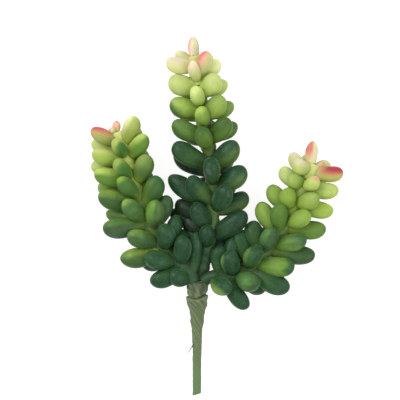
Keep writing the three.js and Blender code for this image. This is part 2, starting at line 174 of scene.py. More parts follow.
# Drawn marks run along the wire, and a dull brown film lies on the metal.
wire_metal, shader, nodes, links = new_material("drawn_wire", (0.42, 0.42, 0.40), 0.38, 1.0)
place = add_node(nodes, "ShaderNodeTexCoord")
stretch = add_node(nodes, "ShaderNodeMapping", {"Scale": (9000, 260, 9000)})
marks = add_node(nodes, "ShaderNodeTexNoise", {"Detail": 4})
film = add_ramp(nodes, (0.35, (0.20, 0.17, 0.13)), (0.62, (0.55, 0.55, 0.53)))
dents = add_node(nodes, "ShaderNodeBump", {"Strength": 0.25, "Distance": 0.0001})
join(links, (place, "Object", stretch, "Vector"), (stretch, "Vector", marks, "Vector"),
     (marks, "Fac", film, "Fac"), (marks, "Fac", dents, "Height"),
     (film, "Color", shader, "Base Color"), (dents, "Normal", shader, "Normal"))

wire_verts = [
    (stem_x(y) + WIRE_RADIUS * share * math.sin(turn), y, WIRE_RADIUS * share * math.cos(turn))
    for y, share in WIRE_PROFILE for turn in turns_round(WIRE_SIDES)
]
piece("cut_stem_wire", wire_verts, skin(len(WIRE_PROFILE), WIRE_SIDES), wire_metal, "wire",
      replaced=["stem_wire"])


# ---- Branches ----
# Three thinner wires with a moulded green plastic coat. Their feet stand side by side in the tape, they
# bend out at the fork, and each was nipped off just past its last whorl, where the brown wire end shows.
BRANCH_RADIUS = 1.2
BRANCH_SIDES = 20
BRANCH_START, BRANCH_STEP, BRANCH_STOP = 0.3, 1.5, 1  # its even rings stop that far below the tip
TIP_ROUND, TIP_EDGE, TIP_BEVEL = 0.25, 0.05, 0.1
CORE_RADIUS = 0.55
CORE_IN, CORE_OUT, CORE_BEVEL = 1.0, 0.5, 0.15
BUNDLE_RADIUS = 2.6
BUNDLE_STATIONS = (-13, -7, -2.6)
ROUTE_DIVISIONS = 200
ROUTE_NUDGE = 1e-4


def in_bundle(turn):
    """The branch's foot beside the stem wire, inside the tape."""
    x, z = BUNDLE_RADIUS * math.cos(math.radians(turn)), BUNDLE_RADIUS * math.sin(math.radians(turn))
    return [(x, y, z) for y in BUNDLE_STATIONS]


BRANCH_ROUTES = {
    "left": [
        *in_bundle(150), (-3.4, 0.4, 1.3), (-5.8, 4, 1.2), (-11, 9, 1), (-15.5, 13.5, 0.6), (-20, 19, 0.3),
        (-24.5, 27.5, 0), (-27.5, 35.5, 0), (-30.8, 44.5, 0), (-34, 54.5, 0), (-36.8, 63, 0),
        (-39.5, 69.5, 0), (-41, 74, 0),
    ],
    "centre": [
        *in_bundle(270), (0.5, 0.4, -2.5), (2, 5.5, -2), (4, 13.5, -1.2), (6.5, 24.5, -0.5), (7.5, 37, 0),
        (7.2, 50.5, 0), (5.5, 64.5, 0), (2.5, 79.5, 0), (0.8, 93.5, 0), (-1.2, 106.5, 0), (-2.2, 112, 0),
    ],
    "right": [
        *in_bundle(30), (3.5, -0.6, 1.3), (6, 0.8, 1.2), (11, 0.6, 1), (18.5, 2, 0.6), (26, 6.5, 0.3),
        (32, 12.5, 0), (37, 18, 0), (41.5, 24, 0), (45.5, 31, 0), (49, 38.5, 0), (52.5, 46, 0),
        (55.5, 52, 0), (58, 58, 0),
    ],
}


class Route:
    """A smooth line through chosen points, eased by their distances and measured along its length."""

    def __init__(self, points):
        self.points = [np.array(p, float) for p in points]
        self.samples = [self.at(i / ROUTE_DIVISIONS) for i in range(ROUTE_DIVISIONS + 1)]
        steps = [np.linalg.norm(b - a) for a, b in zip(self.samples, self.samples[1:])]
        self.lengths = np.concatenate([[0], np.cumsum(steps)])
        self.length = self.lengths[-1]

    def at(self, t):
        last = len(self.points) - 1
        i = min(int(t * last), last - 1)
        weight = t * last - i
        p1, p2 = self.points[i], self.points[i + 1]
        p0 = self.points[i - 1] if i > 0 else 2 * p1 - p2
        p3 = self.points[i + 2] if i + 2 <= last else 2 * p2 - p1
        d0, d1, d2 = (math.sqrt(np.linalg.norm(b - a)) for a, b in ((p0, p1), (p1, p2), (p2, p3)))
        m1 = ((p1 - p0) / d0 - (p2 - p0) / (d0 + d1) + (p2 - p1) / d1) * d1
        m2 = ((p2 - p1) / d1 - (p3 - p1) / (d1 + d2) + (p3 - p2) / d2) * d1
        cubic = 2 * p1 - 2 * p2 + m1 + m2
        square = -3 * p1 + 3 * p2 - 2 * m1 - m2
        return p1 + m1 * weight + square * weight ** 2 + cubic * weight ** 3

    def share(self, station):
        """The curve's own parameter at so many millimetres along it."""
        station = min(max(station, 0), self.length)
        return np.interp(station, self.lengths, np.linspace(0, 1, ROUTE_DIVISIONS + 1))

    def axes(self, station):
        """The middle, and the directions along the branch, out of its front and across it."""
        t = self.share(station)
        along = unit(self.at(min(t + ROUTE_NUDGE, 1)) - self.at(max(t - ROUTE_NUDGE, 0)))
        front = unit(np.array([0, 0, 1]) - along[2] * along)
        return self.at(t), along, front, np.cross(along, front)


routes = {side: Route(points) for side, points in BRANCH_ROUTES.items()}


def round_bar(route, stations, radii, sides, first=0):
    """Points and faces of a bar along a route, with a ring for each station and radius."""
    verts = []
    for station, radius in zip(stations, radii):
        middle, along, front, across = route.axes(station)
        beyond = max(station - route.length, 0)
        for turn in turns_round(sides):
            outward = across * math.cos(turn) + front * math.sin(turn)
            verts.append(middle + along * beyond + radius * outward)
    return verts, skin(len(verts) // sides, sides, first)


# The moulded plastic's noises, each (scale, detail), and how far each has to rise to start and to be full
CLOUDS, PATCHES, DUST, GRAIN = (330, 5), (140, 2), (1300, 3), (5200, 2)
CLOUD_RISE, PATCH_RISE, DUST_RISE, WHOLE_RISE = (0.3, 0.7), (0.52, 0.72), (0.5, 0.75), (0, 1)
CLOUD_SHADOW = (0.02, 0.05, 0.02, 1)
BLOOM_COLOUR = (0.17, 0.30, 0.22, 1)
DUST_TO_BLOOM = 1.5
GRAIN_LEAST, GRAIN_STRENGTH, GRAIN_DEPTH = 0.6, 0.35, 0.00006


def moulded_surface():
    """Node group for soft moulded plastic: cloudy colour, uneven gloss and the mould's fine grain."""
    group = bpy.data.node_groups.new("moulded_surface", "ShaderNodeTree")
    for name, kind, value in (
        ("Colour", "NodeSocketColor", (0.2, 0.4, 0.1, 1)),
        ("Bloom colour", "NodeSocketColor", (0.5, 0.6, 0.55, 1)),
        ("Bloom", "NodeSocketFloat", 0.1), ("Dust", "NodeSocketFloat", 0.1),
        ("Cloudiness", "NodeSocketFloat", 0.1),
        ("Gloss low", "NodeSocketFloat", 0.35), ("Gloss high", "NodeSocketFloat", 0.5),
    ):
        group.interface.new_socket(name=name, socket_type=kind, in_out="INPUT").default_value = value
    for name, kind in (
        ("Colour", "NodeSocketColor"), ("Roughness", "NodeSocketFloat"), ("Height", "NodeSocketFloat"),
    ):
        group.interface.new_socket(name=name, socket_type=kind, in_out="OUTPUT")
    nodes, links = group.nodes, group.links
    given = nodes.new("NodeGroupInput").outputs
    result = nodes.new("NodeGroupOutput")
    place = nodes.new("ShaderNodeTexCoord")

    def feed(node, sources):
        """Gives each named input another node's output or a plain value."""
        for name, source in sources.items():
            if isinstance(source, bpy.types.NodeSocket):
                links.new(source, node.inputs[name])
            else:
                node.inputs[name].default_value = source

    def noise(scale, detail):
        made = add_node(nodes, "ShaderNodeTexNoise", {"Scale": scale, "Detail": detail})
        join(links, (place, "Object", made, "Vector"))
        return made.outputs["Fac"]

    def spread(value, rise, to_low, to_high):
        made = nodes.new("ShaderNodeMapRange")
        feed(made, {"Value": value, "From Min": rise[0], "From Max": rise[1], "To Min": to_low,
                    "To Max": to_high})
        return made.outputs["Result"]

    def mixed(factor, first, second):
        made = add_node(nodes, "ShaderNodeMix", data_type="RGBA")
        feed(made, {"Factor": factor, "A": first, "B": second})
        return made.outputs["Result"]

    clouds, patches, dust, grain = (noise(*values) for values in (CLOUDS, PATCHES, DUST, GRAIN))
    darkened = mixed(spread(clouds, CLOUD_RISE, 0, given["Cloudiness"]), given["Colour"], CLOUD_SHADOW)
    bloomed = mixed(spread(patches, PATCH_RISE, 0, given["Bloom"]), darkened, given["Bloom colour"])
    feed(result, {
        "Colour": mixed(spread(dust, DUST_RISE, 0, given["Dust"]), bloomed, given["Bloom colour"]),
        "Roughness": spread(clouds, CLOUD_RISE, given["Gloss low"], given["Gloss high"]),
        "Height": spread(grain, WHOLE_RISE, 0, spread(patches, WHOLE_RISE, GRAIN_LEAST, 1)),
    })
    return group


SURFACE = moulded_surface()


def moulded_material(name, colour, bloom, cloudiness, gloss, soften):
    """Soft plastic whose colour comes from the piece's own paint."""
    made, shader, nodes, links = new_material(name, colour, sum(gloss) / 2)
    paint = add_node(nodes, "ShaderNodeAttribute", attribute_name="paint")
    surface = add_node(nodes, "ShaderNodeGroup", {
        "Bloom colour": BLOOM_COLOUR, "Bloom": bloom, "Dust": DUST_TO_BLOOM * bloom,
        "Cloudiness": cloudiness, "Gloss low": gloss[0], "Gloss high": gloss[1],
    }, node_tree=SURFACE)
    bump = add_node(nodes, "ShaderNodeBump", {"Strength": GRAIN_STRENGTH, "Distance": GRAIN_DEPTH})
    join(links, (paint, "Color", surface, "Colour"), (surface, "Colour", shader, "Base Color"),
         (surface, "Roughness", shader, "Roughness"), (surface, "Height", bump, "Height"),
         (bump, "Normal", shader, "Normal"))
    set_inputs(shader, {
        "IOR": 1.46, "Specular IOR Level": 0.20, "Sheen Weight": 0.04, "Sheen Roughness": 0.2,
        "Subsurface Weight": soften, "Subsurface Radius": (0.0016, 0.0020, 0.0008), "Subsurface Scale": 1.0,
    })
    return made


coat_plastic = moulded_material("branch_coat", (0.15, 0.22, 0.05), 0.05, 0.25, (0.4, 0.55), 0.0)
COAT_FOOT_COLOUR = np.array((0.10, 0.15, 0.05))
COAT_TIP_COLOUR = np.array((0.34, 0.42, 0.12))
COAT_END_COLOUR = np.array((0.30, 0.24, 0.12))

# The wire in the coat has rusted a little where it was nipped off.
core_metal, shader, nodes, links = new_material("nipped_wire_end", (0.10, 0.06, 0.035), 0.5, 0.6)
place = add_node(nodes, "ShaderNodeTexCoord")
pits = add_node(nodes, "ShaderNodeTexNoise", {"Scale": 4000})
rust = add_ramp(nodes, (0, (0.05, 0.03, 0.02)), (1, (0.22, 0.14, 0.08)))
pit_bump = add_node(nodes, "ShaderNodeBump", {"Distance": 0.0001})
join(links, (place, "Object", pits, "Vector"), (pits, "Fac", rust, "Fac"), (pits, "Fac", pit_bump, "Height"),
     (rust, "Color", shader, "Base Color"), (pit_bump, "Normal", shader, "Normal"))

for side, route in routes.items():
    stations = np.arange(BRANCH_START, route.length - BRANCH_STOP, BRANCH_STEP)
    stations = np.append(stations, route.length - np.array((TIP_ROUND, TIP_EDGE, 0)))
    radii = np.full(len(stations), BRANCH_RADIUS)
    radii[-2:] -= (TIP_BEVEL, TIP_ROUND)
    share = np.clip(stations / route.length, 0, 1) ** 2
    coat = COAT_FOOT_COLOUR + share[:, None] * (COAT_TIP_COLOUR - COAT_FOOT_COLOUR)
    coat[-2:] = COAT_END_COLOUR
    piece(f"{side}_coated_branch", *round_bar(route, stations, radii, BRANCH_SIDES), coat_plastic, "branch",
          replaced=[f"{side}_branch"], paint=np.repeat(coat, BRANCH_SIDES, axis=0))
    core_stations = route.length + np.array((-CORE_IN, CORE_OUT - CORE_BEVEL, CORE_OUT))
    core_radii = (CORE_RADIUS, CORE_RADIUS, CORE_RADIUS - CORE_BEVEL)
    piece(f"{side}_wire_end", *round_bar(route, core_stations, core_radii, BRANCH_SIDES), core_metal, "wire")


# ---- Floral tape ----
# A strip of waxed crepe paper, wound aslant and pulled tight from the fork down. It gathers in pleats at
# the top, folds back once into a bulge, thins over the wire, and is cut off aslant with the wire.
TAPE_TOP = -1.6
TAPE_OUTLINE = [  # (y, radius) above the fold and well below it
    (-1.6, 4.9), (-2.6, 5.35), (-4.5, 5.05), (-7, 4.75), (-10, 4.85), (-13, 4.55), (-15.6, 3.75),
    (-18, 3.4), (-21.5, 3.1), (-25, 2.45), (-29.5, 2.35), (-34, 2.15), (-45, 2.1), (STEM_FOOT, 2.05),
]
RIM_HEIGHTS, RIM_SHARES = (0.35, 0.3), (0.25, 0.8)  # two rings that close its top: height, share of radius
TAPE_SIDES = 160
TAPE_STEP = 0.12
TAPE_CUT_SLOPE, CUT_REACH = 0.3, 1.5
BORE_GAP, BORE_DEPTH = 0.08, 2.0

# Each turn of the strip covers so much of the stem, so the crepe's creases run steeply. Its thickness climbs
# over most of a turn, and drops at the strip's edge.
TAPE_PITCH = 18.0
LAP_AT = -25.3
LAP_EDGE, LAP_DRIFT, LAP_LEAST = 0.22, 0.05, 0.4
LAP_CLIMB, LAP_DROP = 0.97, 0.03

# Where the fold's lip lies round the tape: (turn from the right by way of the front, y, how deep it is)
FOLD_LINE = [
    (0, -7.3, 1.0), (35, -7.9, 1.0), (65, -9.0, 0.9), (95, -10.0, 0.45), (130, -9.4, 0.35),
    (160, -8.6, 0.9), (180, -8.3, 1.0), (230, -8.9, 0.6), (290, -8.2, 0.5), (360, -7.3, 1.0),
]
FOLD_DRIFT = 0.3
FOLD_BULGE, FOLD_LENGTH, FOLD_RISE = 0.85, 2.6, (0.1, 0.5)
FOLD_GROOVE, GROOVE_UP, GROOVE_WIDTH = 0.7, 0.1, 0.55

# How deep the paper's waves are, and (from which y up, over how much) they come in
PLEAT_DEPTH, PLEATED, PLEAT_SLANT = 0.4, (-17, 10), (-0.3, 0.3)
CREASE_DEPTH, CREASED, CREASED_LEAST = 0.5, (-44, 22), 0.15
CREPE_DEPTH, CREPE_LEAST = 0.5, 0.3
WAVE_HEIGHTS = (0.5, 1)

# It is greener towards the foot (from so far down, over how much). Painted highlight makes it paler where it
# stands up, and painted shade darkens it in its hollows, under the fold and in the open top. The cavity
# reaches are the rings and sides on either hand that a hollow is measured against.
TAPE_TOP_COLOUR = np.array((0.073, 0.107, 0.047))
TAPE_MIDDLE_COLOUR = np.array((0.122, 0.168, 0.068))
TAPE_FOOT_COLOUR = np.array((0.110, 0.205, 0.072))
TAPE_RIDGE_HIGHLIGHT = (0.205, 0.255, 0.110)
TAPE_SHADOW = (0.018, 0.030, 0.012)
MIDDLE_OVER, GREENER = 22, (38, 14)
CAVITY_REACH, WIDE_CAVITY_REACH, WIDE_CAVITY = (5, 6), (15, 18), 0.6
RIDGE_HIGHLIGHT_AT, SHADED_AT, COVER_MOST = 0.40, 0.75, 0.7
FOLD_SHADE, FOLD_SHADE_UP, FOLD_SHADE_WIDTH = 0.95, 0.25, 0.65
TOP_SHADE, TOP_SHADE_REACH = 0.9, 1.2

looks = np.random.default_rng(5)


def soft_step(value, start=0, over=1):
    """Rises smoothly from 0 at the start to 1."""
    value = np.clip((value - start) / over, 0, 1)
    return value * value * (3 - 2 * value)


def sprayed(paint, share, colour):
    """The paint with another colour over it, by each point's share."""
    return paint + share[..., None] * (colour - paint)


def at_least(least, share):
    """A share from 0 to 1, squeezed so that it never falls below the least."""
    return least + (1 - least) * share


def waves(count, around, pitch, amount):
    """Random smooth creases over (turn, y): whole numbers of waves around, aslant by a pitch of so much."""
    made = [
        (n, -2 * math.pi * n / looks.uniform(*pitch) if pitch else looks.uniform(*PLEAT_SLANT),
         looks.uniform(0, 2 * math.pi), amount * looks.uniform(*WAVE_HEIGHTS) / math.sqrt(count))
        for n in looks.integers(around[0], around[1] + 1, count)
    ]

    def height(turn, y):
        return sum(a * np.sin(n * turn + k * y + phase) for n, k, phase, a in made)
    return height


def blurred(field, rings, sides):
    """The mean over so many rings and sides on either hand."""
    for axis, reach in ((0, rings), (1, sides)):
        field = sum(np.roll(field, step, axis) for step in range(-reach, reach + 1)) / (2 * reach + 1)
    return field


pleats = waves(7, (3, 8), None, 0.55)
creases = waves(16, (3, 12), (16, 60), 0.30)
crepe_lines = waves(22, (14, 34), (12, 80), 0.20)
drift = waves(5, (1, 2), None, 0.5)

tape_y = np.concatenate([
    TAPE_TOP + np.array(RIM_HEIGHTS), np.arange(TAPE_TOP, STEM_FOOT, -TAPE_STEP), [STEM_FOOT],
])
tape_turn = turns_round(TAPE_SIDES)
turn_grid, y_grid = np.meshgrid(tape_turn, tape_y)
fold_turn, fold_y, fold_depth = np.array(FOLD_LINE).T
fold_height = np.interp(np.degrees(turn_grid), fold_turn, fold_y)
below_fold = fold_height + FOLD_DRIFT * drift(turn_grid, 0) - y_grid
fold_depth = np.interp(np.degrees(turn_grid), fold_turn, fold_depth)
outline_y, outline_r = np.array(TAPE_OUTLINE[::-1]).T
creased = at_least(CREASED_LEAST, soft_step(y_grid, *CREASED))

relief = FOLD_BULGE * soft_step(below_fold, *FOLD_RISE) * np.exp(-np.maximum(below_fold, 0) / FOLD_LENGTH)
relief -= FOLD_GROOVE * fold_depth * np.exp(-((below_fold + GROOVE_UP) / GROOVE_WIDTH) ** 2)
lap_turns = (y_grid - LAP_AT) / TAPE_PITCH - (turn_grid - math.pi / 2) / (2 * math.pi)
lap = lap_turns + LAP_DRIFT * drift(turn_grid, y_grid)
lap = lap - np.floor(lap)
lap = np.where(lap < LAP_CLIMB, lap / LAP_CLIMB, (1 - lap) / LAP_DROP)
relief += LAP_EDGE * lap * at_least(LAP_LEAST, creased)
relief += pleats(turn_grid, y_grid) * soft_step(y_grid, *PLEATED) * PLEAT_DEPTH
relief += creases(turn_grid, y_grid) * creased * CREASE_DEPTH
relief += crepe_lines(turn_grid, y_grid) * at_least(CREPE_LEAST, creased) * CREPE_DEPTH
radius = np.interp(y_grid, outline_y, outline_r) + relief
radius[:2] *= np.array(RIM_SHARES)[:, None]

hollow = blurred(relief, *CAVITY_REACH) - relief
hollow += WIDE_CAVITY * (blurred(relief, *WIDE_CAVITY_REACH) - relief)
down = np.clip((TAPE_TOP - y_grid) / MIDDLE_OVER, 0, 1)
tape_paint = sprayed(TAPE_TOP_COLOUR, down, TAPE_MIDDLE_COLOUR)
tape_paint += soft_step(-y_grid, *GREENER)[..., None] * (TAPE_FOOT_COLOUR - TAPE_MIDDLE_COLOUR)
# Painted highlight where the paper stands up, then painted shade in its hollows, under the fold and in the
# open top
tape_paint = sprayed(tape_paint, np.clip(-hollow / RIDGE_HIGHLIGHT_AT, 0, COVER_MOST), TAPE_RIDGE_HIGHLIGHT)
shade = np.clip(hollow / SHADED_AT, 0, COVER_MOST)
under_fold = np.exp(-((below_fold + FOLD_SHADE_UP) / FOLD_SHADE_WIDTH) ** 2)
shade = np.maximum(shade, FOLD_SHADE * fold_depth * under_fold)
open_top = soft_step((y_grid - TAPE_TOP + TOP_SHADE_REACH) / TOP_SHADE_REACH)
tape_paint = sprayed(tape_paint, np.maximum(shade, TOP_SHADE * open_top), TAPE_SHADOW)

tape_x = radius * np.cos(turn_grid)
cut = TAPE_CUT_SLOPE * tape_x * soft_step((STEM_FOOT + CUT_REACH - y_grid) / CUT_REACH)
tape_rings = np.stack([tape_x + stem_x(y_grid), y_grid + cut, radius * np.sin(turn_grid)], axis=-1)
bore_x, bore_z = ((WIRE_RADIUS + BORE_GAP) * wave(tape_turn) for wave in (np.cos, np.sin))
bore = np.stack([bore_x + STEM_FOOT_X, STEM_FOOT + TAPE_CUT_SLOPE * bore_x, bore_z], axis=-1)
tape_rings = np.concatenate([tape_rings, [bore, bore + np.array((0, BORE_DEPTH, 0))]])
tape_paint = np.concatenate([tape_paint, np.tile(TAPE_SHADOW, (2, TAPE_SIDES, 1))])

# The crepe's fine ribs run along the stem, and the wax leaves a faint uneven sheen.
tape_paper, shader, nodes, links = new_material("crepe_tape", (0.19, 0.25, 0.13), 0.75)
paint = add_node(nodes, "ShaderNodeAttribute", attribute_name="paint")
place = add_node(nodes, "ShaderNodeTexCoord")
stretch = add_node(nodes, "ShaderNodeMapping", {"Scale": (3400, 420, 3400)})
ribs = add_node(nodes, "ShaderNodeTexNoise", {"Detail": 5})
fibres = add_node(nodes, "ShaderNodeTexNoise", {"Scale": 5200, "Detail": 3})
faded = add_node(nodes, "ShaderNodeMix", {"Factor": 0.45}, data_type="RGBA", blend_type="MULTIPLY")
tone = add_ramp(nodes, (0.3, (0.55, 0.58, 0.5)), (0.7, (1.35, 1.35, 1.3)))
sheen = add_node(nodes, "ShaderNodeMapRange", {"To Min": 0.62, "To Max": 0.88})
ribbed = add_node(nodes, "ShaderNodeMath", operation="ADD")
crepe = add_node(nodes, "ShaderNodeBump", {"Strength": 0.6, "Distance": 0.00018})
join(links, (place, "Object", stretch, "Vector"), (stretch, "Vector", ribs, "Vector"),
     (place, "Object", fibres, "Vector"), (ribs, "Fac", tone, "Fac"), (paint, "Color", faded, "A"),
     (tone, "Color", faded, "B"), (faded, "Result", shader, "Base Color"), (fibres, "Fac", sheen, "Value"),
     (sheen, "Result", shader, "Roughness"), (ribs, "Fac", ribbed, 0), (fibres, "Fac", ribbed, 1),
     (ribbed, "Value", crepe, "Height"), (crepe, "Normal", shader, "Normal"))
set_inputs(shader, {"Sheen Weight": 0.25, "Sheen Roughness": 0.5})

piece("wound_floral_tape", tape_rings.reshape(-1, 3), skin(len(tape_rings), TAPE_SIDES), tape_paper, "tape",
      replaced=["stem_tape"], paint=tape_paint.reshape(-1, 3))

# A torn fibre of the tape stands off the left side of the stem.
FIBRES = [
    [(-2.1, -32.2, 1.0), (-3.0, -33.8, 1.3), (-3.9, -35.2, 1.5), (-4.9, -37.0, 1.5)],
    [(-2.2, -33.4, 1.2), (-3.1, -34.0, 1.6), (-3.8, -35.0, 1.9)],
]
FIBRE_RADIUS = 0.33
FIBRE_SIDES, FIBRE_RINGS = 8, 10
FIBRE_POINT = 0.35  # share of the radius left at the end
FIBRE_SHADE = 0.8
fibre_verts, fibre_faces = [], []
for points in FIBRES:
    strand = Route(points)
    radii = FIBRE_RADIUS * np.linspace(1, FIBRE_POINT, FIBRE_RINGS)
    stations = np.linspace(0, strand.length, FIBRE_RINGS)
    verts, faces = round_bar(strand, stations, radii, FIBRE_SIDES, first=len(fibre_verts))
    fibre_verts += verts
    fibre_faces += faces
piece("tape_fibre", fibre_verts, fibre_faces, tape_paper, "tape",
      paint=np.tile(FIBRE_SHADE * TAPE_TOP_COLOUR, (len(fibre_verts), 1)))


# ---- Leaves ----
# Whorls of plump leaves, moulded in soft plastic with a sleeve that is threaded on the branch. They were
# sprayed after moulding: darker green over the tips and undersides, and a pink blush on the crown. The dark
# side is partly painted shade, and painted highlights and painted shade lie over some of the leaves.
LEAF_START = 1.4
LEAF_WIDEST = 0.6
LEAF_ROOT_DEPTH, LEAF_ROOT_WIDTH = 0.6, 0.52
LEAF_TIP_POWER, TIP_POWER_SPREAD = 2.2, (-0.3, 0.2)
LEAF_TIP_CLOSED = 0.985
LEAF_WIDTH_SHARE = 0.92
LEAF_SAG = 0.15
LEAF_SIDES = 36
LEAF_ROOT_RINGS, LEAF_TIP_RINGS = 9, 11
SHOULDER = 2.35
KEEL, KEEL_WIDTH = 0.03, 0.3
BOW = 0.07
SWELL = 0.025
UNEVEN = ((2, 0.02), (3, 0.018))  # waves round a leaf's girth: (how many, how strong)
WAVE_SHIFT = (0, 6)
ALONG_BRANCH = 0.95

# The leaves at the back, which fill the gaps between the listed ones
LEAF_SPACING = 66
HIDDEN_RISE, HIDDEN_REACH = 30, 1.75
TURN_SPREAD = 8
FRONT_SIDE = 0.1
CROWDED = 11
ROUTE_POINTS = 60
RANDOM_SEED, RANDOM_FACTOR, RANDOM_MODULUS = 20240611, 16807, 2147483647

# Whorl by whorl from the tip: leaf thickness, whether it stays open at the back, and its listed leaves. A
# leaf is (x, y, z, foot): its tip's place, with z from the branch's middle, and how far below the branch's
# tip it starts. Then come a thickness of its own and the name of a mark on it. Most marks were sprayed,
# some are painted light and some painted shade.
WHORLS = {
    "left": {
        "crown_blush": [
            (4.8, True, (-40.9, 79.2, 1, 2, 4.6, "tuft"), (-44.2, 75.5, 2, 3, 4.5, "tuft low")),
            (8.4, True, (-53.4, 74.6, 4, 6.8, 7.9, "crimson top"), (-31.3, 81.3, 4, 8.5, 8.4, "pale haze"),
             (-29.8, 75.6, -5, 12.5, 7.6)),
            (8.6, False, (-41.3, 69, 12, 13.5, 7.5, "dark spot"), (-53, 62.9, 5, 16, 8.7, "faint haze"),
             (-25.7, 71.6, 6, 14.5, 8.8, "lime top"), (-53.4, 68.3, -5, 12.5, 7.6, "pale"),
             (-26.2, 64.2, -6, 20, 7.6)),
        ],
        "whorls_lime": [
            (9, False, (-40.8, 58.6, 12, 24.8, 8, "dark spot"), (-51.8, 52.8, 5, 26, 9.3, "lime top"),
             (-24.9, 61.8, 7, 28, 9.6, "dark rim"), (-53.5, 56.8, -6, 22, 8, "pale"),
             (-24.8, 54.2, -6, 31.5, 8)),
            (9.4, False, (-39.4, 50.1, 12, 35, 8.4, "lime corner"), (-49.8, 41.9, 5, 39.5, 9.8, "mid top"),
             (-19.8, 51, 8, 41, 9.8, "dark tip"), (-50.2, 46, -6, 32, 8.2), (-19.6, 43.5, -6, 43.5, 8.6)),
        ],
        "whorls_green": [
            (9.6, False, (-37, 38.5, 12, 46.5, 9.4, "lime corner"), (-47.5, 25, 4, 49, 10.2, "dim top"),
             (-20.7, 38.9, 11, 52, 9.4, "lime left"), (-14.6, 41.6, 3, 53, 8.2), (-46.2, 33, -6, 47.5, 8.4)),
            (9.6, False, (-35, 22, 9, 59.5, 9.4, "mid top"), (-15.8, 26, 13, 63, 9.9),
             (-38.9, 9.9, 2, 65.5, 10, "mid top"), (-10, 32, 1, 64, 8), (-27, 30, -16.1, 55, 9.8)),
            (9.6, False, (-26, 10.5, 9, 72, 9.8), (-7.5, 21, 11, 75, 9), (-28.2, 7.6, -6, 70, 9)),
            (9.4, True, (-23.8, -1.8, 3, 77.5, 9.6), (-14.3, 2.2, 7, 84, 9.2), (-13.3, -0.9, -3, 80, 6),
             (-0.8, 23.5, 4, 84.5, 6.2), (-4.5, 15.5, -1, 82, 7.6)),
        ],
    },
    "centre": {
        "crown_blush": [
            (6.4, True, (-2.5, 121.5, -3.5, 6, 6.4, "pink left")),
            (8.4, False, (-15.7, 108.3, 5, 6.5, 8.2, "pink top"), (-11.2, 113.9, -5, 6, 6.6, "pointed"),
             (-3, 108.6, 10, 14, 6.9, "pink tip"), (5, 112.9, 8, 11, 8.2, "coral corner"),
             (11.5, 108, -2, 8.5, 7.8, "lit")),
        ],
        "whorls_lime": [
            (9.4, False, (-14.6, 99.1, 4, 17, 10.4), (-1.4, 94.8, 13, 25, 7.8, "bright"),
             (10, 101.2, 9, 20.3, 10.2), (14.8, 98.2, -4, 19, 7.8)),
            (9.8, False, (-14, 87.9, 4, 28.5, 10.4, "dark low"), (1.4, 84.7, 13, 35.3, 8.2, "fresh"),
             (12.8, 90.3, 9, 31.8, 10.1), (17.9, 87.2, -4, 30.5, 8.2), (1, 87, -16.3, 30.5, 10)),
            (9.8, False, (-12.8, 78, 4, 42.5, 9.6, "dark low"), (1.3, 74.2, 13, 46.5, 9.2),
             (15.8, 79.3, 9, 43.3, 9.8), (19.7, 77.3, -4, 42.5, 8)),
        ],
        "whorls_green": [
            (9.8, False, (-12.6, 66.9, 5, 56.5, 10, "lime edge"), (-12, 62.8, -5, 60, 9.6, "shaded"),
             (6.4, 59, 14, 64.3, 9.8, "frosted"), (19.6, 68.1, 6, 56, 10.6, "lime foot")),
            (9.8, False, (-14.7, 51.2, 0, 75, 10.2), (-4.6, 50.4, 10, 74.5, 9.8, "dim edge"),
             (24, 55, 4, 67.5, 10.6, "lime foot")),
            (9.8, False, (15, 46, 12, 78, 10, "frosted"), (25.2, 41.8, -2, 79, 9.6, "lime foot"),
             (-1.9, 37.2, 10, 87, 9.4), (-11.2, 38.4, -3, 84, 9.2, "shaded"), (-13.5, 33.5, -7, 88, 9)),
            (9.8, False, (24.3, 33, 5, 92, 10.2), (4.5, 26.5, 10, 97, 8.6), (-8, 31, -4, 91, 8.6, "shaded"),
             (-5, 25.5, -4, 99, 8.4)),
            (8, True, (6, 14.5, 3, 107.5, 6), (15, 20, -4, 103)),
        ],
    },
    "right": {
        "crown_blush": [
            (5.8, True, (57.7, 69, -3.5, 4, 6.2, "coral left"), (63.5, 57.8, -2, 3, 2.8, "tuft")),
            (8.2, False, (46.4, 63, -3, 7, 6.9, "pale top"), (47.9, 57.4, 7, 3.5, 8, "pale top"),
             (72.6, 52.8, 3, 5.2, 8, "deep crimson top")),
        ],
        "whorls_lime": [
            (8.4, False, (41.4, 55.5, -3, 14, 7.8, "backlit"), (45.2, 50.2, 8, 11, 7.9),
             (59.4, 49.2, 11, 13, 7.4, "pink spot"), (70.2, 44, 3, 13.5, 8.4)),
            (8.8, False, (35.4, 46.4, -2, 26.5, 8.8, "mid brow"), (43.6, 44.3, 9, 24.5, 8.9, "fern"),
             (59.9, 40.7, 11, 22.5, 8.8), (67.5, 33.5, 3, 22, 8.9, "soft lime")),
            (9.2, False, (30.4, 38.2, -2, 39, 9.4, "mid brow"), (40.6, 37.2, 10, 38.5, 9, "moss"),
             (55.7, 32.7, 10, 33.5, 9, "lime crest"), (64, 24.8, 1, 35.5, 9.5)),
        ],
        "whorls_green": [
            (9.6, False, (26.2, 28.9, 0, 51.5, 9.8), (37.6, 25.2, 11, 51, 9.6, "dim left"),
             (54, 19.8, 8, 46, 9.2, "dark tip"), (58.5, 11.5, 1, 49.5, 9.6, "deep")),
            (9.8, False, (19.5, 25, -1, 60, 8.4), (30.2, 15.8, 12, 62.5, 9.7, "lime rim"),
             (48, 6, 7, 58.5, 9.8, "lime body"), (45.5, -5.5, 2, 62.5, 10.4), (38, 20, -15.8, 54)),
            (9.8, False, (15.5, 13, 11, 70, 9.6, "lime rim"), (29.5, -3, 11, 69, 10, "dim left"),
             (24.6, -14.8, 3, 75, 9), (33.6, -5.8, -6, 67.5, 9.2)),
            (9.4, True, (10.4, 16.8, 2, 77, 8.4), (14.8, -5.8, 11, 80, 10, "lime low"),
             (18, 21.5, -1, 72, 8.6)),
        ],
    },
}


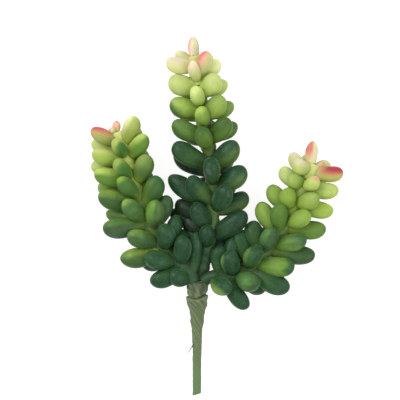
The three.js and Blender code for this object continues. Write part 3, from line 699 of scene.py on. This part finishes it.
def fixed_draws():
    """Even numbers from 0 to 1 in a fixed order, so that the hidden leaves are always the same."""
    state = RANDOM_SEED
    while True:
        state = state * RANDOM_FACTOR % RANDOM_MODULUS
        yield state / RANDOM_MODULUS


class Leaf:
    """Where one leaf lies: from the middle of its branch to its tip."""

    def __init__(self, side, foot, tip_of, thick, mark=None):
        route = routes[side]
        self.root, self.along, front, across = route.axes(route.length - foot)
        self.tip = tip_of(self.root, self.along, front, across)
        out = self.tip - self.root
        self.turn = math.degrees(math.atan2(out @ front, out @ across))
        self.side, self.foot, self.thick, self.mark = side, foot, thick, mark


def listed_leaf(side, thick, x, y, z, foot, own=None, mark=None):
    return Leaf(side, foot, lambda middle, *_: np.array((x, y, middle[2] + z)), own or thick, mark)


def hidden_leaf(side, thick, foot, turn):
    angle, rise = math.radians(turn), math.radians(HIDDEN_RISE)
    reach = HIDDEN_REACH * thick

    def tip_of(middle, along, front, across):
        outward = across * math.cos(angle) + front * math.sin(angle)
        return middle + reach * (math.cos(rise) * outward + math.sin(rise) * along)
    return Leaf(side, foot, tip_of, thick)


def crowded(leaf):
    """Whether the leaf's middle is too near another branch."""
    middle = leaf.root + LEAF_WIDEST * (leaf.tip - leaf.root)
    return any(
        np.linalg.norm(route.at(i / ROUTE_POINTS) - middle) < CROWDED
        for side, route in routes.items() if side != leaf.side for i in range(ROUTE_POINTS + 1)
    )


def leaves_of(side, whorl, draws):
    """The listed leaves, then hidden ones spread evenly over each gap between them round the back."""
    thick, is_open, *rows = whorl
    leaves = [listed_leaf(side, thick, *row) for row in rows]
    if is_open:
        return leaves
    foot = sum(leaf.foot for leaf in leaves) / len(leaves)
    turns = sorted(leaf.turn for leaf in leaves)
    hidden = []
    for turn, following in zip(turns, turns[1:] + [turns[0] + 360]):
        count = math.floor((following - turn) / LEAF_SPACING + 0.5) - 1
        for k in range(1, count + 1):
            spread = TURN_SPREAD * (2 * next(draws) - 1)
            at = turn + (following - turn) * k / (count + 1) + spread
            if math.sin(math.radians(at)) > FRONT_SIDE:
                continue
            leaf = hidden_leaf(side, thick, foot, at)
            if not crowded(leaf):
                hidden.append(leaf)
    return leaves + hidden


# The plastic's colours down each branch: how far a leaf's tip is below the branch's tip, then the colour at
# the leaf's root, on its light side and on its dark side. Below come the way that the dark spray came from,
# then the colours. The dark side is partly the real spray and partly painted shade.
SPRAY_AND_SHADE_FROM = {"left": (0.5, -0.8, 0.15), "centre": (-0.45, 0.8, 0.1), "right": (0.7, 0.45, 0.1)}
COLOURS = {
    "left": [
        (-5, (0.36, 0.4, 0.09), (0.42, 0.46, 0.13), (0.32, 0.38, 0.08)),
        (3, (0.25, 0.34, 0.05), (0.36, 0.46, 0.095), (0.14, 0.25, 0.04)),
        (10, (0.25, 0.37, 0.048), (0.31, 0.44, 0.07), (0.11, 0.21, 0.035)),
        (18, (0.24, 0.36, 0.048), (0.23, 0.36, 0.05), (0.08, 0.17, 0.03)),
        (28, (0.22, 0.34, 0.046), (0.13, 0.24, 0.036), (0.055, 0.13, 0.028)),
        (36, (0.2, 0.31, 0.044), (0.14, 0.26, 0.045), (0.05, 0.12, 0.032)),
        (44, (0.15, 0.24, 0.038), (0.085, 0.18, 0.038), (0.038, 0.095, 0.03)),
        (52, (0.095, 0.17, 0.03), (0.052, 0.14, 0.031), (0.022, 0.08, 0.026)),
        (62, (0.04, 0.09, 0.022), (0.032, 0.1, 0.029), (0.017, 0.067, 0.024)),
        (80, (0.026, 0.065, 0.019), (0.024, 0.082, 0.027), (0.014, 0.057, 0.023)),
    ],
    "centre": [
        (-9, (0.6, 0.56, 0.33), (0.61, 0.58, 0.4), (0.61, 0.58, 0.4)),
        (1, (0.6, 0.63, 0.21), (0.6, 0.6, 0.27), (0.56, 0.58, 0.22)),
        (7, (0.54, 0.62, 0.16), (0.54, 0.6, 0.22), (0.48, 0.55, 0.17)),
        (12, (0.5, 0.61, 0.14), (0.48, 0.58, 0.16), (0.41, 0.51, 0.12)),
        (17, (0.46, 0.6, 0.12), (0.43, 0.56, 0.12), (0.34, 0.47, 0.085)),
        (23, (0.33, 0.46, 0.08), (0.3, 0.44, 0.065), (0.21, 0.34, 0.05)),
        (28, (0.24, 0.36, 0.055), (0.2, 0.33, 0.05), (0.13, 0.24, 0.038)),
        (32, (0.13, 0.22, 0.032), (0.11, 0.22, 0.035), (0.065, 0.14, 0.028)),
        (38, (0.1, 0.17, 0.024), (0.12, 0.22, 0.024), (0.075, 0.155, 0.022)),
        (44, (0.036, 0.085, 0.018), (0.046, 0.12, 0.024), (0.018, 0.065, 0.019)),
        (56, (0.028, 0.075, 0.018), (0.036, 0.1, 0.026), (0.016, 0.064, 0.022)),
        (66, (0.021, 0.06, 0.017), (0.027, 0.08, 0.024), (0.013, 0.052, 0.02)),
        (80, (0.015, 0.04, 0.015), (0.02, 0.062, 0.022), (0.011, 0.045, 0.019)),
    ],
    "right": [
        (-10, (0.66, 0.58, 0.31), (0.68, 0.64, 0.4), (0.68, 0.64, 0.4)),
        (0, (0.56, 0.61, 0.2), (0.56, 0.6, 0.24), (0.5, 0.55, 0.18)),
        (4, (0.49, 0.59, 0.15), (0.5, 0.57, 0.17), (0.42, 0.51, 0.13)),
        (10, (0.42, 0.55, 0.09), (0.4, 0.53, 0.095), (0.33, 0.46, 0.08)),
        (15, (0.3, 0.43, 0.06), (0.31, 0.45, 0.065), (0.23, 0.37, 0.052)),
        (20, (0.26, 0.38, 0.05), (0.22, 0.35, 0.048), (0.14, 0.26, 0.04)),
        (27, (0.2, 0.31, 0.042), (0.15, 0.27, 0.04), (0.085, 0.18, 0.032)),
        (33, (0.16, 0.25, 0.038), (0.14, 0.26, 0.04), (0.07, 0.16, 0.033)),
        (42, (0.1, 0.18, 0.03), (0.07, 0.15, 0.034), (0.035, 0.095, 0.028)),
        (53, (0.05, 0.11, 0.024), (0.047, 0.13, 0.03), (0.02, 0.075, 0.024)),
        (70, (0.04, 0.09, 0.022), (0.036, 0.11, 0.029), (0.017, 0.067, 0.024)),
    ],
}
# The sleeve's colour, by how far it is below the branch's tip, and how it darkens towards the fork: the
# colour there, and how far from the branch's foot that starts and is full
SLEEVE_COLOURS = [
    (0, (0.60, 0.64, 0.24)), (14, (0.52, 0.62, 0.16)), (26, (0.33, 0.46, 0.08)), (38, (0.13, 0.21, 0.045)),
    (56, (0.095, 0.165, 0.036)), (84, (0.085, 0.15, 0.034)),
]
SLEEVE_FORK_COLOUR = (0.03, 0.075, 0.028)
SLEEVE_FORK_FROM, SLEEVE_FORK_FULL = 44, 24
# How much darker (or paler, below zero) a leaf's tip is, by how far it is below the branch's tip. The dark
# tips low down are the spray, and the paler tips of the upper leaves are painted light, their roots lying in
# shade.
TIP_SPRAY_AND_LIGHT = ((0, -0.35), (20, -0.2), (32, 0.2), (60, 0.5))
# Fine streaks along the lower leaves: (how many round the leaf, how strong, how they twist), and how much
# of them there is, by how far the leaf is below the branch's tip
STREAKS = ((5, 0.07, 2.5), (9, 0.06, -1.8), (13, 0.05, 1.2))
STREAKED = ((20, 0.15), (45, 1.0))
# A painted highlight over the tips of the upper leaves, pale on the side that faces left, up and towards the
# tips
TIP_HIGHLIGHT = ((0, 0.45), (16, 0.36), (26, 0.10), (36, 0.0))
HIGHLIGHT_SHARE = {"left": 0.35, "centre": 1.0, "right": 0.5}
HIGHLIGHT_COLOUR = (0.70, 0.72, 0.36)
HIGHLIGHT_FROM = np.array((-0.5, 0.8, 0.3))
# Painted highlight along the edges of the lower leaves, where they face sideways: how much, by how far they
# are below the branch's tip
EDGE_LIGHT = ((22, 0.0), (45, 0.55))
EDGE_LIGHT_COLOUR = (0.13, 0.24, 0.11)
EDGE_LIGHT_FACING = (0.12, 0.38)
EDGE_LIGHT_LEAST, EDGE_LIGHT_PATCHES = 0.6, 2
# Painted shade: how much more of the dark side's colour lies on the leaves of the bunch's inner side
INNER_SHADE = {"left": 0.8, "centre": 0.0, "right": -0.1}
# Where along a leaf each of them comes in: from where, over how much
SPRAY_ALONG, ROOT_ALONG, HIGHLIGHT_ALONG = (0.3, 0.6), (0, 0.5), (0.2, 0.8)
STREAKS_ALONG, EDGE_LIGHT_ALONG = (0, 0.4), (0.15, 0.3)
# The sprays' soft borders: blotches are waves round the leaf (how many, how strong), and shift them about
BLOTCHES = ((3, 0.16), (5, 0.12))
DARK_BORDER, TIP_GAIN, HIGHLIGHT_GAIN = 1.8, 2, 0.6
MARK_SHIFT_ROUND, MARK_SHIFT_ALONG = 0.3, 0.2
TINT_SPREAD = 0.06
# How the way that a leaf faces is worked out: the girth left at the tip, and the root's look back
LEAST_GIRTH, ROOT_LOOKS_BACK = 0.02, -0.2

# Marks on single leaves, each in one or more coats. Most were sprayed; some are painted light and some
# painted shade, as noted. A coat is its colour, the way that the coated side faces with how squarely it has
# to face there to start and to be full (left out for a coat that goes all round), and where along the leaf
# it starts and is full.
DARK_RIM = ((0.065, 0.16, 0.035), (0.6, 0.6, -0.2), (0.45, 1.0), (0.4, 0.95))
MARKS = {
    "pink left": [
        ((0.82, 0.66, 0.46), (-1.0, 0.3, 0.1), (-0.5, 0.8), (-0.4, 0.6)),
        ((0.88, 0.28, 0.25), (-1.0, 0.3, -0.1), (0.3, 0.95), (0.0, 0.6)),
    ],
    "pink top": [
        ((0.7, 0.62, 0.45), (-0.2, 1.0, 0.1), (-0.5, 0.8), (-0.2, 0.7)),
        ((0.84, 0.34, 0.3), (-0.4, 1.0, -0.2), (0.65, 1.05), (0.1, 0.8)),
    ],
    "pink tip": [
        ((0.84, 0.67, 0.5), (-0.5, 0.8, 0.3), (-0.8, 0.7), (0.1, 0.9)),
        ((0.86, 0.34, 0.3), (-0.9, 0.6, -0.1), (0.55, 1.1), (0.4, 0.9)),
    ],
    "pink spot": [((0.8, 0.34, 0.27), (0.3, 0.8, 0.4), (0.35, 1.05), (0.5, 0.95))],
    "coral corner": [
        ((0.72, 0.43, 0.28), (-0.8, 0.6, 0.3), (-0.5, 0.6), (0.0, 0.8)),
        ((0.74, 0.17, 0.19), (-0.75, 0.75, 0.0), (0.1, 0.9), (0.25, 0.85)),
    ],
    "coral left": [((0.66, 0.21, 0.16), (-1.0, 0.2, 0.5), (-0.2, 0.6), (0.1, 0.7))],
    "crimson top": [
        ((0.56, 0.3, 0.15), (-0.3, 1.0, 0.2), (-0.3, 0.6), (0.0, 0.7)),
        ((0.56, 0.1, 0.11), (-0.1, 1.0, 0.1), (0.1, 0.9), (-0.1, 0.6)),
    ],
    "deep crimson top": [
        ((0.46, 0.46, 0.14), (-0.2, 0.5)),
        ((0.6, 0.32, 0.15), (0.1, 1.0, 0.25), (-0.3, 0.4), (0.0, 0.7)),
        ((0.42, 0.055, 0.065), (0.1, 1.0, 0.25), (0.0, 0.75), (0.1, 0.6)),
    ],
    "pale haze": [((0.72, 0.71, 0.4), (-0.8, 0.8, 0.1), (0.15, 0.95), (0.1, 0.85))],
    "pale top": [((0.68, 0.6, 0.42), (0.1, 1.0, 0.1), (-0.4, 0.9), (0.1, 0.9))],
    "faint haze": [((0.54, 0.54, 0.2), (-0.3, 1.0, 0.1), (0.0, 1.0), (0.1, 0.9))],
    "tuft": [
        ((0.76, 0.46, 0.32), (-0.2, 0.3)),
        ((0.78, 0.16, 0.15), (0.5, 1.0, 0.0), (0.2, 0.9), (0.5, 1.0)),
    ],
    "tuft low": [((0.72, 0.54, 0.38), (-0.2, 1.0, 0.2), (-0.6, 0.8), (0.1, 0.9))],
    "pointed": [((0.74, 0.72, 0.46), (0.6, 1.0))],
    "pale": [((0.5, 0.58, 0.2), (0.1, 0.6))],
    "lime top": [
        ((0.13, 0.25, 0.034), (0.1, 0.6)),
        ((0.5, 0.62, 0.14), (-0.3, 0.9, 0.3), (0.1, 1.0), (-0.6, 0.3)),
    ],
    "mid top": [
        ((0.055, 0.125, 0.03), (0.0, 0.5)),
        ((0.28, 0.43, 0.06), (-0.4, 0.9, 0.2), (0.0, 0.95), (1.5, 0.5)),
    ],
    "dim top": [
        ((0.045, 0.1, 0.03), (0.0, 0.5)),
        ((0.13, 0.27, 0.04), (-0.3, 1.0, 0.0), (0.0, 1.0), (-0.6, 0.3)),
    ],
    "lime left": [
        ((0.085, 0.17, 0.036), (0.0, 0.5)),
        ((0.18, 0.34, 0.048), (-0.8, 0.3, 0.2), (0.0, 0.9), (-0.2, 0.4)),
    ],
    "lime corner": [
        ((0.075, 0.17, 0.034), (0.0, 0.5)),
        ((0.25, 0.43, 0.06), (-0.5, 0.8, 0.3), (0.0, 0.95), (-0.2, 0.4)),
    ],
    "lit": [((0.78, 0.82, 0.4), (0.3, 0.5, 0.4), (-0.8, 0.5), (-0.2, 0.4))],
    "bright": [((0.66, 0.76, 0.27), (-0.5, 0.6, 0.4), (-0.8, 0.7), (-0.2, 0.4))],
    "fresh": [((0.42, 0.58, 0.1), (-0.5, 0.8, 0.2), (-0.6, 0.8), (-0.2, 0.4))],
    "lime rim": [((0.16, 0.3, 0.05), (-1.0, -0.2, -0.1), (0.55, 1.0), (-0.2, 0.4))],
    "lime foot": [
        ((0.085, 0.16, 0.03), (0.35, -1.0, 0.2), (-0.1, 0.9), (1.4, 0.6)),
        ((0.26, 0.34, 0.06), (0.6, -0.8, -0.2), (0.75, 1.0), (0.2, 0.6)),
    ],
    "lime edge": [((0.2, 0.32, 0.055), (0.65, -0.75, -0.2), (0.55, 1.0), (1.1, 0.4))],
    "lime low": [((0.22, 0.38, 0.06), (-0.8, -0.7, -0.1), (0.1, 1.0), (-0.2, 0.4))],
    "lime body": [
        ((0.17, 0.31, 0.04), (1.05, 0.7)),
        ((0.035, 0.11, 0.035), (0.78, 0.95)),
    ],
    "dim edge": [((0.1, 0.18, 0.04), (0.85, -0.5, 0.0), (0.2, 1.0), (1.2, 0.5))],
    # Painted shade on the leaf's lower right side, over its dark spray
    "dark spot": [((0.07, 0.18, 0.035), (0.75, -0.6, 0.3), (0.1, 0.9), (0.0, 0.55))],
    "dark rim": [DARK_RIM],
    "backlit": [((0.58, 0.68, 0.25), (-0.2, 0.3))],
    # Painted light: a leaf that lies in the shade of the one above, painted paler all over
    "soft lime": [((0.38, 0.52, 0.085), (-0.2, 0.4))],
    "lime crest": [
        ((0.27, 0.41, 0.063), (-0.2, 0.4)),
        DARK_RIM,
    ],
    "mid brow": [
        ((0.26, 0.4, 0.068), (-0.2, 0.4)),
        ((0.065, 0.16, 0.035), (-0.3, 0.9, -0.2), (0.35, 1.0), (0.55, 1.0)),
    ],
    "fern": [((0.25, 0.39, 0.055), (-0.2, 0.4))],
    # Painted shade: the whole leaf darkened
    "moss": [((0.105, 0.21, 0.032), (0.0, 0.6))],
    "deep": [((0.045, 0.1, 0.025), (0.0, 0.6))],
    "dim left": [
        ((0.045, 0.105, 0.03), (0.0, 0.5)),
        ((0.085, 0.2, 0.04), (-0.8, 0.3, 0.2), (0.0, 0.9), (-0.2, 0.4)),
    ],
    "dark low": [((0.075, 0.15, 0.028), (-0.7, -0.8, 0.0), (-0.2, 0.7), (0.05, 0.8))],
    "dark tip": [((0.045, 0.13, 0.035), (0.72, 1.0))],
    "frosted": [((0.12, 0.17, 0.14), (-0.4, -0.9, 0.2), (0.7, 1.05), (0.6, 0.95))],
    "shaded": [((0.012, 0.026, 0.012), (0.0, 0.3))],
}
POINTED_TIPS = {
    "pink left": 1.65, "pointed": 1.6, "pink tip": 1.75, "tuft": 1.5, "tuft low": 1.5, "coral left": 1.9,
}


def colours_at(side, down):
    """The root, light and dark colours that far below the branch's tip."""
    rows = COLOURS[side]
    stations = [row[0] for row in rows]
    return [
        np.array([np.interp(down, stations, [row[k][c] for row in rows]) for c in range(3)])
        for k in (1, 2, 3)
    ]


def leaf_rings(tip_power):
    """Stations along the leaf with its girth there, close together at the round tip."""
    shares = list(np.linspace(0, LEAF_WIDEST, LEAF_ROOT_RINGS + 1))
    girth = [math.sin(math.pi / 2 * share / LEAF_WIDEST) for share in shares]
    for turn in np.linspace(0, math.pi / 2, LEAF_TIP_RINGS + 1)[1:]:
        turn = min(turn, LEAF_TIP_CLOSED * math.pi / 2)
        shares.append(LEAF_WIDEST + (1 - LEAF_WIDEST) * math.sin(turn) ** (2 / tip_power))
        girth.append(math.cos(turn) ** (2 / tip_power))
    return np.array(shares), np.array(girth), np.array(shares) <= LEAF_WIDEST


def waved(turns, waves_round, around=0):
    """A value with gentle random waves round the leaf."""
    for count, amount in waves_round:
        around = around + amount * np.sin(count * turns + looks.uniform(*WAVE_SHIFT))
    return around


def shaped_leaf(leaf):
    """A plump leaf's points and paint, as arrays of rings by sides."""
    tip_power = POINTED_TIPS.get(leaf.mark, LEAF_TIP_POWER + looks.uniform(*TIP_POWER_SPREAD))
    shares, girth, rooted = leaf_rings(tip_power)
    depth = np.where(rooted, LEAF_ROOT_DEPTH + (1 - LEAF_ROOT_DEPTH) * girth, girth)
    width = np.where(rooted, LEAF_ROOT_WIDTH + (1 - LEAF_ROOT_WIDTH) * girth, girth)
    turns = turns_round(LEAF_SIDES)
    side_x = np.sign(np.cos(turns)) * np.abs(np.cos(turns)) ** (2 / SHOULDER)
    keel = 1 + KEEL * np.exp(-(np.cos(turns) / KEEL_WIDTH) ** 2)
    side_z = np.sin(turns) * np.where(np.sin(turns) > 0, 1, keel)
    sag = LEAF_SAG * (1 - (2 * shares - 1) ** 2)

    axis = unit(leaf.tip - leaf.root)
    start = leaf.root + LEAF_START * axis
    up = np.array((0.0, 0.0, 1.0)) if abs(axis @ leaf.along) > ALONG_BRANCH else leaf.along
    up = unit(up - (up @ axis) * axis)
    across = np.cross(axis, up)
    half = leaf.thick / 2
    length = np.linalg.norm(leaf.tip - start)
    uneven = waved(turns, UNEVEN, 1)
    bow = looks.uniform(-BOW, BOW) * np.sin(math.pi * shares)
    swell = 1 + SWELL * np.sin(2 * math.pi * shares + looks.uniform(*WAVE_SHIFT))
    x = (width[:, None] * side_x * uneven * swell[:, None] * LEAF_WIDTH_SHARE + bow[:, None]) * half
    z = (depth[:, None] * side_z * uneven * swell[:, None] - sag[:, None]) * half
    points = (start + shares[:, None, None] * length * axis
              + x[..., None] * across + z[..., None] * up)

    # Which way each point faces, near enough for the spray
    sideways = side_x[:, None] * across + np.sin(turns)[:, None] * up
    facing = sideways * np.maximum(girth, LEAST_GIRTH)[:, None, None]
    facing += axis * np.where(rooted, ROOT_LOOKS_BACK, 1 - girth)[:, None, None]
    facing /= np.linalg.norm(facing, axis=-1, keepdims=True)

    # The plastic's own colour, the dark spray over it with painted shade, and the light root
    down = leaf.foot - (leaf.tip - leaf.root) @ leaf.along
    tint = 1 + TINT_SPREAD * looks.normal()
    root_colour, light, dark = (tint * colour for colour in colours_at(leaf.side, down))
    blotches = waved(turns, BLOTCHES)
    spray_and_shade = facing @ np.array(SPRAY_AND_SHADE_FROM[leaf.side]) + blotches + INNER_SHADE[leaf.side] * axis[0]
    at_tip = soft_step(shares, *SPRAY_ALONG)[:, None] * TIP_GAIN
    spray_and_shade = spray_and_shade + np.interp(down, *zip(*TIP_SPRAY_AND_LIGHT)) * at_tip
    paint = sprayed(light, soft_step(0.5 + spray_and_shade / DARK_BORDER), dark)
    paint = sprayed(paint, (1 - soft_step(shares, *ROOT_ALONG))[:, None], root_colour)

    # The painted highlight, the streaks, the leaf's own marks and the painted highlight along its edges
    highlit = HIGHLIGHT_SHARE[leaf.side] * np.interp(down, *zip(*TIP_HIGHLIGHT)) * soft_step(shares, *HIGHLIGHT_ALONG)
    highlit = highlit[:, None] * soft_step(0.5 + HIGHLIGHT_GAIN * (facing @ HIGHLIGHT_FROM + blotches))
    paint = sprayed(paint, highlit, HIGHLIGHT_COLOUR)
    streaks = sum(
        amount * np.sin(count * turns + looks.uniform(*WAVE_SHIFT) + twist * shares[:, None])
        for count, amount, twist in STREAKS
    )
    streaks = streaks * np.interp(down, *zip(*STREAKED)) * soft_step(shares, *STREAKS_ALONG)[:, None]
    for colour, *one_side, (first, full) in MARKS.get(leaf.mark, ()):
        reach = soft_step(shares[:, None] + MARK_SHIFT_ALONG * blotches, first, full - first)
        if one_side:
            way, (side_from, side_full) = one_side
            toward = facing @ unit(way) + MARK_SHIFT_ROUND * blotches
            reach = soft_step(toward, side_from, side_full - side_from) * reach
        paint = sprayed(paint, reach, colour)
    paint = paint * (1 + streaks)[..., None]
    # Painted highlight where the leaf faces sideways, in patches, away from the root
    edge = 1 - soft_step(np.abs(facing[..., 2]), *EDGE_LIGHT_FACING)
    edge = edge * soft_step(EDGE_LIGHT_LEAST + EDGE_LIGHT_PATCHES * blotches)
    edge = edge * soft_step(shares, *EDGE_LIGHT_ALONG)[:, None]
    edge_light = np.interp(down, *zip(*EDGE_LIGHT)) * edge
    return points, sprayed(paint, edge_light, EDGE_LIGHT_COLOUR)


crown_plastic = moulded_material("crown_plastic", (0.72, 0.73, 0.34), 0.0, 0.04, (0.38, 0.50), 0.65)
lime_plastic = moulded_material("lime_plastic", (0.36, 0.53, 0.10), 0.04, 0.16, (0.36, 0.48), 0.35)
green_plastic = moulded_material("green_plastic", (0.05, 0.12, 0.045), 0.10, 0.35, (0.30, 0.44), 0.06)
LEAF_MATERIALS = {
    "crown_blush": (crown_plastic, "leaf_crown"),
    "whorls_lime": (lime_plastic, "leaf_lime"),
    "whorls_green": (green_plastic, "leaf_green"),
}

SLEEVE_RADIUS, SLEEVE_TOP_RADIUS = 3.0, 2.5
SLEEVE_TAIL, LAST_SLEEVE_TAIL = 1, 7
SLEEVE_LOWEST = 11
SLEEVE_STEP, SLEEVE_SIDES = 0.8, 24
BRANCH_TIP = 0.6
ZONE_GAP = 0.3
GROOVE, SLEEVE_GROOVE_WIDTH = 0.35, 0.9
FLARE, FLARE_LENGTH, FLARE_SINK = 1.1, 2.6, 0.1


def feet(*whorls):
    """How far below the branch's tip each listed leaf of these whorls starts."""
    return [row[3] for whorl in whorls for row in whorl[2:]]


draws = fixed_draws()
for side, zones in WHORLS.items():
    route = routes[side]
    sleeve_top = route.length - BRANCH_TIP
    zones_below = [*zones.values()][1:] + [None]
    for (zone, whorls), zone_below in zip(zones.items(), zones_below):
        lowest = max(feet(*whorls))
        if zone_below:
            halfway = (lowest + min(feet(*zone_below))) / 2
        else:
            halfway = lowest + LAST_SLEEVE_TAIL
        sleeve_foot = route.length - max(halfway, lowest + SLEEVE_TAIL)

        # The sleeves: a tube along the branch with a groove where one whorl meets the next
        stations = np.arange(max(sleeve_foot, SLEEVE_LOWEST), sleeve_top, SLEEVE_STEP)
        stations = np.append(stations, sleeve_top)
        middles = [sum(feet(whorl)) / len(feet(whorl)) for whorl in whorls]
        radii = np.full(len(stations), SLEEVE_RADIUS)
        for above, below in zip(middles, middles[1:]):
            groove = route.length - (above + below) / 2
            radii -= GROOVE * np.exp(-((stations - groove) / SLEEVE_GROOVE_WIDTH) ** 2)
        for foot in feet(*whorls):
            flare = FLARE * np.exp(-((stations - route.length + foot) / FLARE_LENGTH) ** 2)
            radii = np.maximum(radii, SLEEVE_RADIUS + flare - FLARE_SINK)
        radii[-1] = SLEEVE_TOP_RADIUS
        verts, faces = round_bar(route, stations, radii, SLEEVE_SIDES)
        sleeve_down, sleeve_colour = zip(*SLEEVE_COLOURS)
        sleeve = np.stack([
            np.interp(route.length - stations, sleeve_down, tone) for tone in np.transpose(sleeve_colour)
        ], axis=-1)
        near_fork = soft_step((SLEEVE_FORK_FROM - stations) / (SLEEVE_FORK_FROM - SLEEVE_FORK_FULL))
        sleeve = sprayed(sleeve, near_fork, SLEEVE_FORK_COLOUR)
        paint = [np.repeat(sleeve, SLEEVE_SIDES, axis=0)]

        for whorl in whorls:
            for leaf in leaves_of(side, whorl, draws):
                points, leaf_paint = shaped_leaf(leaf)
                faces += skin(points.shape[0], LEAF_SIDES, first=len(verts))
                verts += list(points.reshape(-1, 3))
                paint.append(leaf_paint.reshape(-1, 3))
        material, slot = LEAF_MATERIALS[zone]
        piece(f"{side}_{zone}_leaves", verts, faces, material, slot, replaced=[f"{side}_{zone}"],
              paint=np.concatenate(paint))
        sleeve_top = sleeve_foot - ZONE_GAP


# ---- Surface, light and camera ----
# A plain white table that glows a little, in a white room, under a large soft lamp from the upper left and
# another from the right. The camera looks straight down through a long lens, as the photograph does.
FRAME_WIDTH = 0.2
FRAME_CENTRE = np.array((1.0, 39.5, 0.0))
CAMERA_DISTANCE = 2.4
SENSOR = 36.0
TABLE_HALF = 3
TABLE_WHITE = 0.35
TABLE_GLOW, TABLE_SPILL = 0.86, 0.5  # as the camera sees it, and as it lights the pick
ROOM_LIGHT = 0.70
LAMPS = (  # (name, place from the middle of the picture, size, power)
    ("key_light", (-0.55, 0.45, 0.75), 0.7, 6.0), ("fill_light", (0.7, -0.1, 0.8), 0.9, 4.0),
)

table = bpy.data.meshes.new("table")
corners = ((-1, -1), (1, -1), (1, 1), (-1, 1))
table.from_pydata([(TABLE_HALF * x, TABLE_HALF * y, 0) for x, y in corners], [], [(0, 1, 2, 3)])
white_table, shader, nodes, links = new_material("white_table", (TABLE_WHITE,) * 3, 0.8)
set_inputs(shader, {"Emission Color": (1, 1, 1, 1)})
seen = add_node(nodes, "ShaderNodeLightPath")
glow = add_node(nodes, "ShaderNodeMapRange", {"To Min": TABLE_SPILL, "To Max": TABLE_GLOW})
join(links, (seen, "Is Camera Ray", glow, "Value"), (glow, "Result", shader, "Emission Strength"))
table.materials.append(white_table)
table_top = in_scene("table", table)

scene = bpy.context.scene
world = bpy.data.worlds.new("white_room")
world.use_nodes = True
set_inputs(world.node_tree.nodes["Background"], {"Color": (1, 1, 1, 1), "Strength": ROOM_LIGHT})
scene.world = world
scene.view_settings.view_transform = "Standard"

target = Vector(FORK + FRAME_CENTRE / MM)
for name, offset, size, power in LAMPS:
    light = bpy.data.lights.new(name, "AREA")
    light.size = size
    light.energy = power
    lamp = in_scene(name, light)
    lamp.location = target + Vector(offset)
    lamp.rotation_euler = (-Vector(offset)).to_track_quat("-Z", "Y").to_euler()

lens = bpy.data.cameras.new("camera")
lens.sensor_width = SENSOR
lens.lens = SENSOR * CAMERA_DISTANCE / FRAME_WIDTH
camera = in_scene("camera", lens)
camera.location = target + Vector((0, 0, CAMERA_DISTANCE))
scene.camera = camera
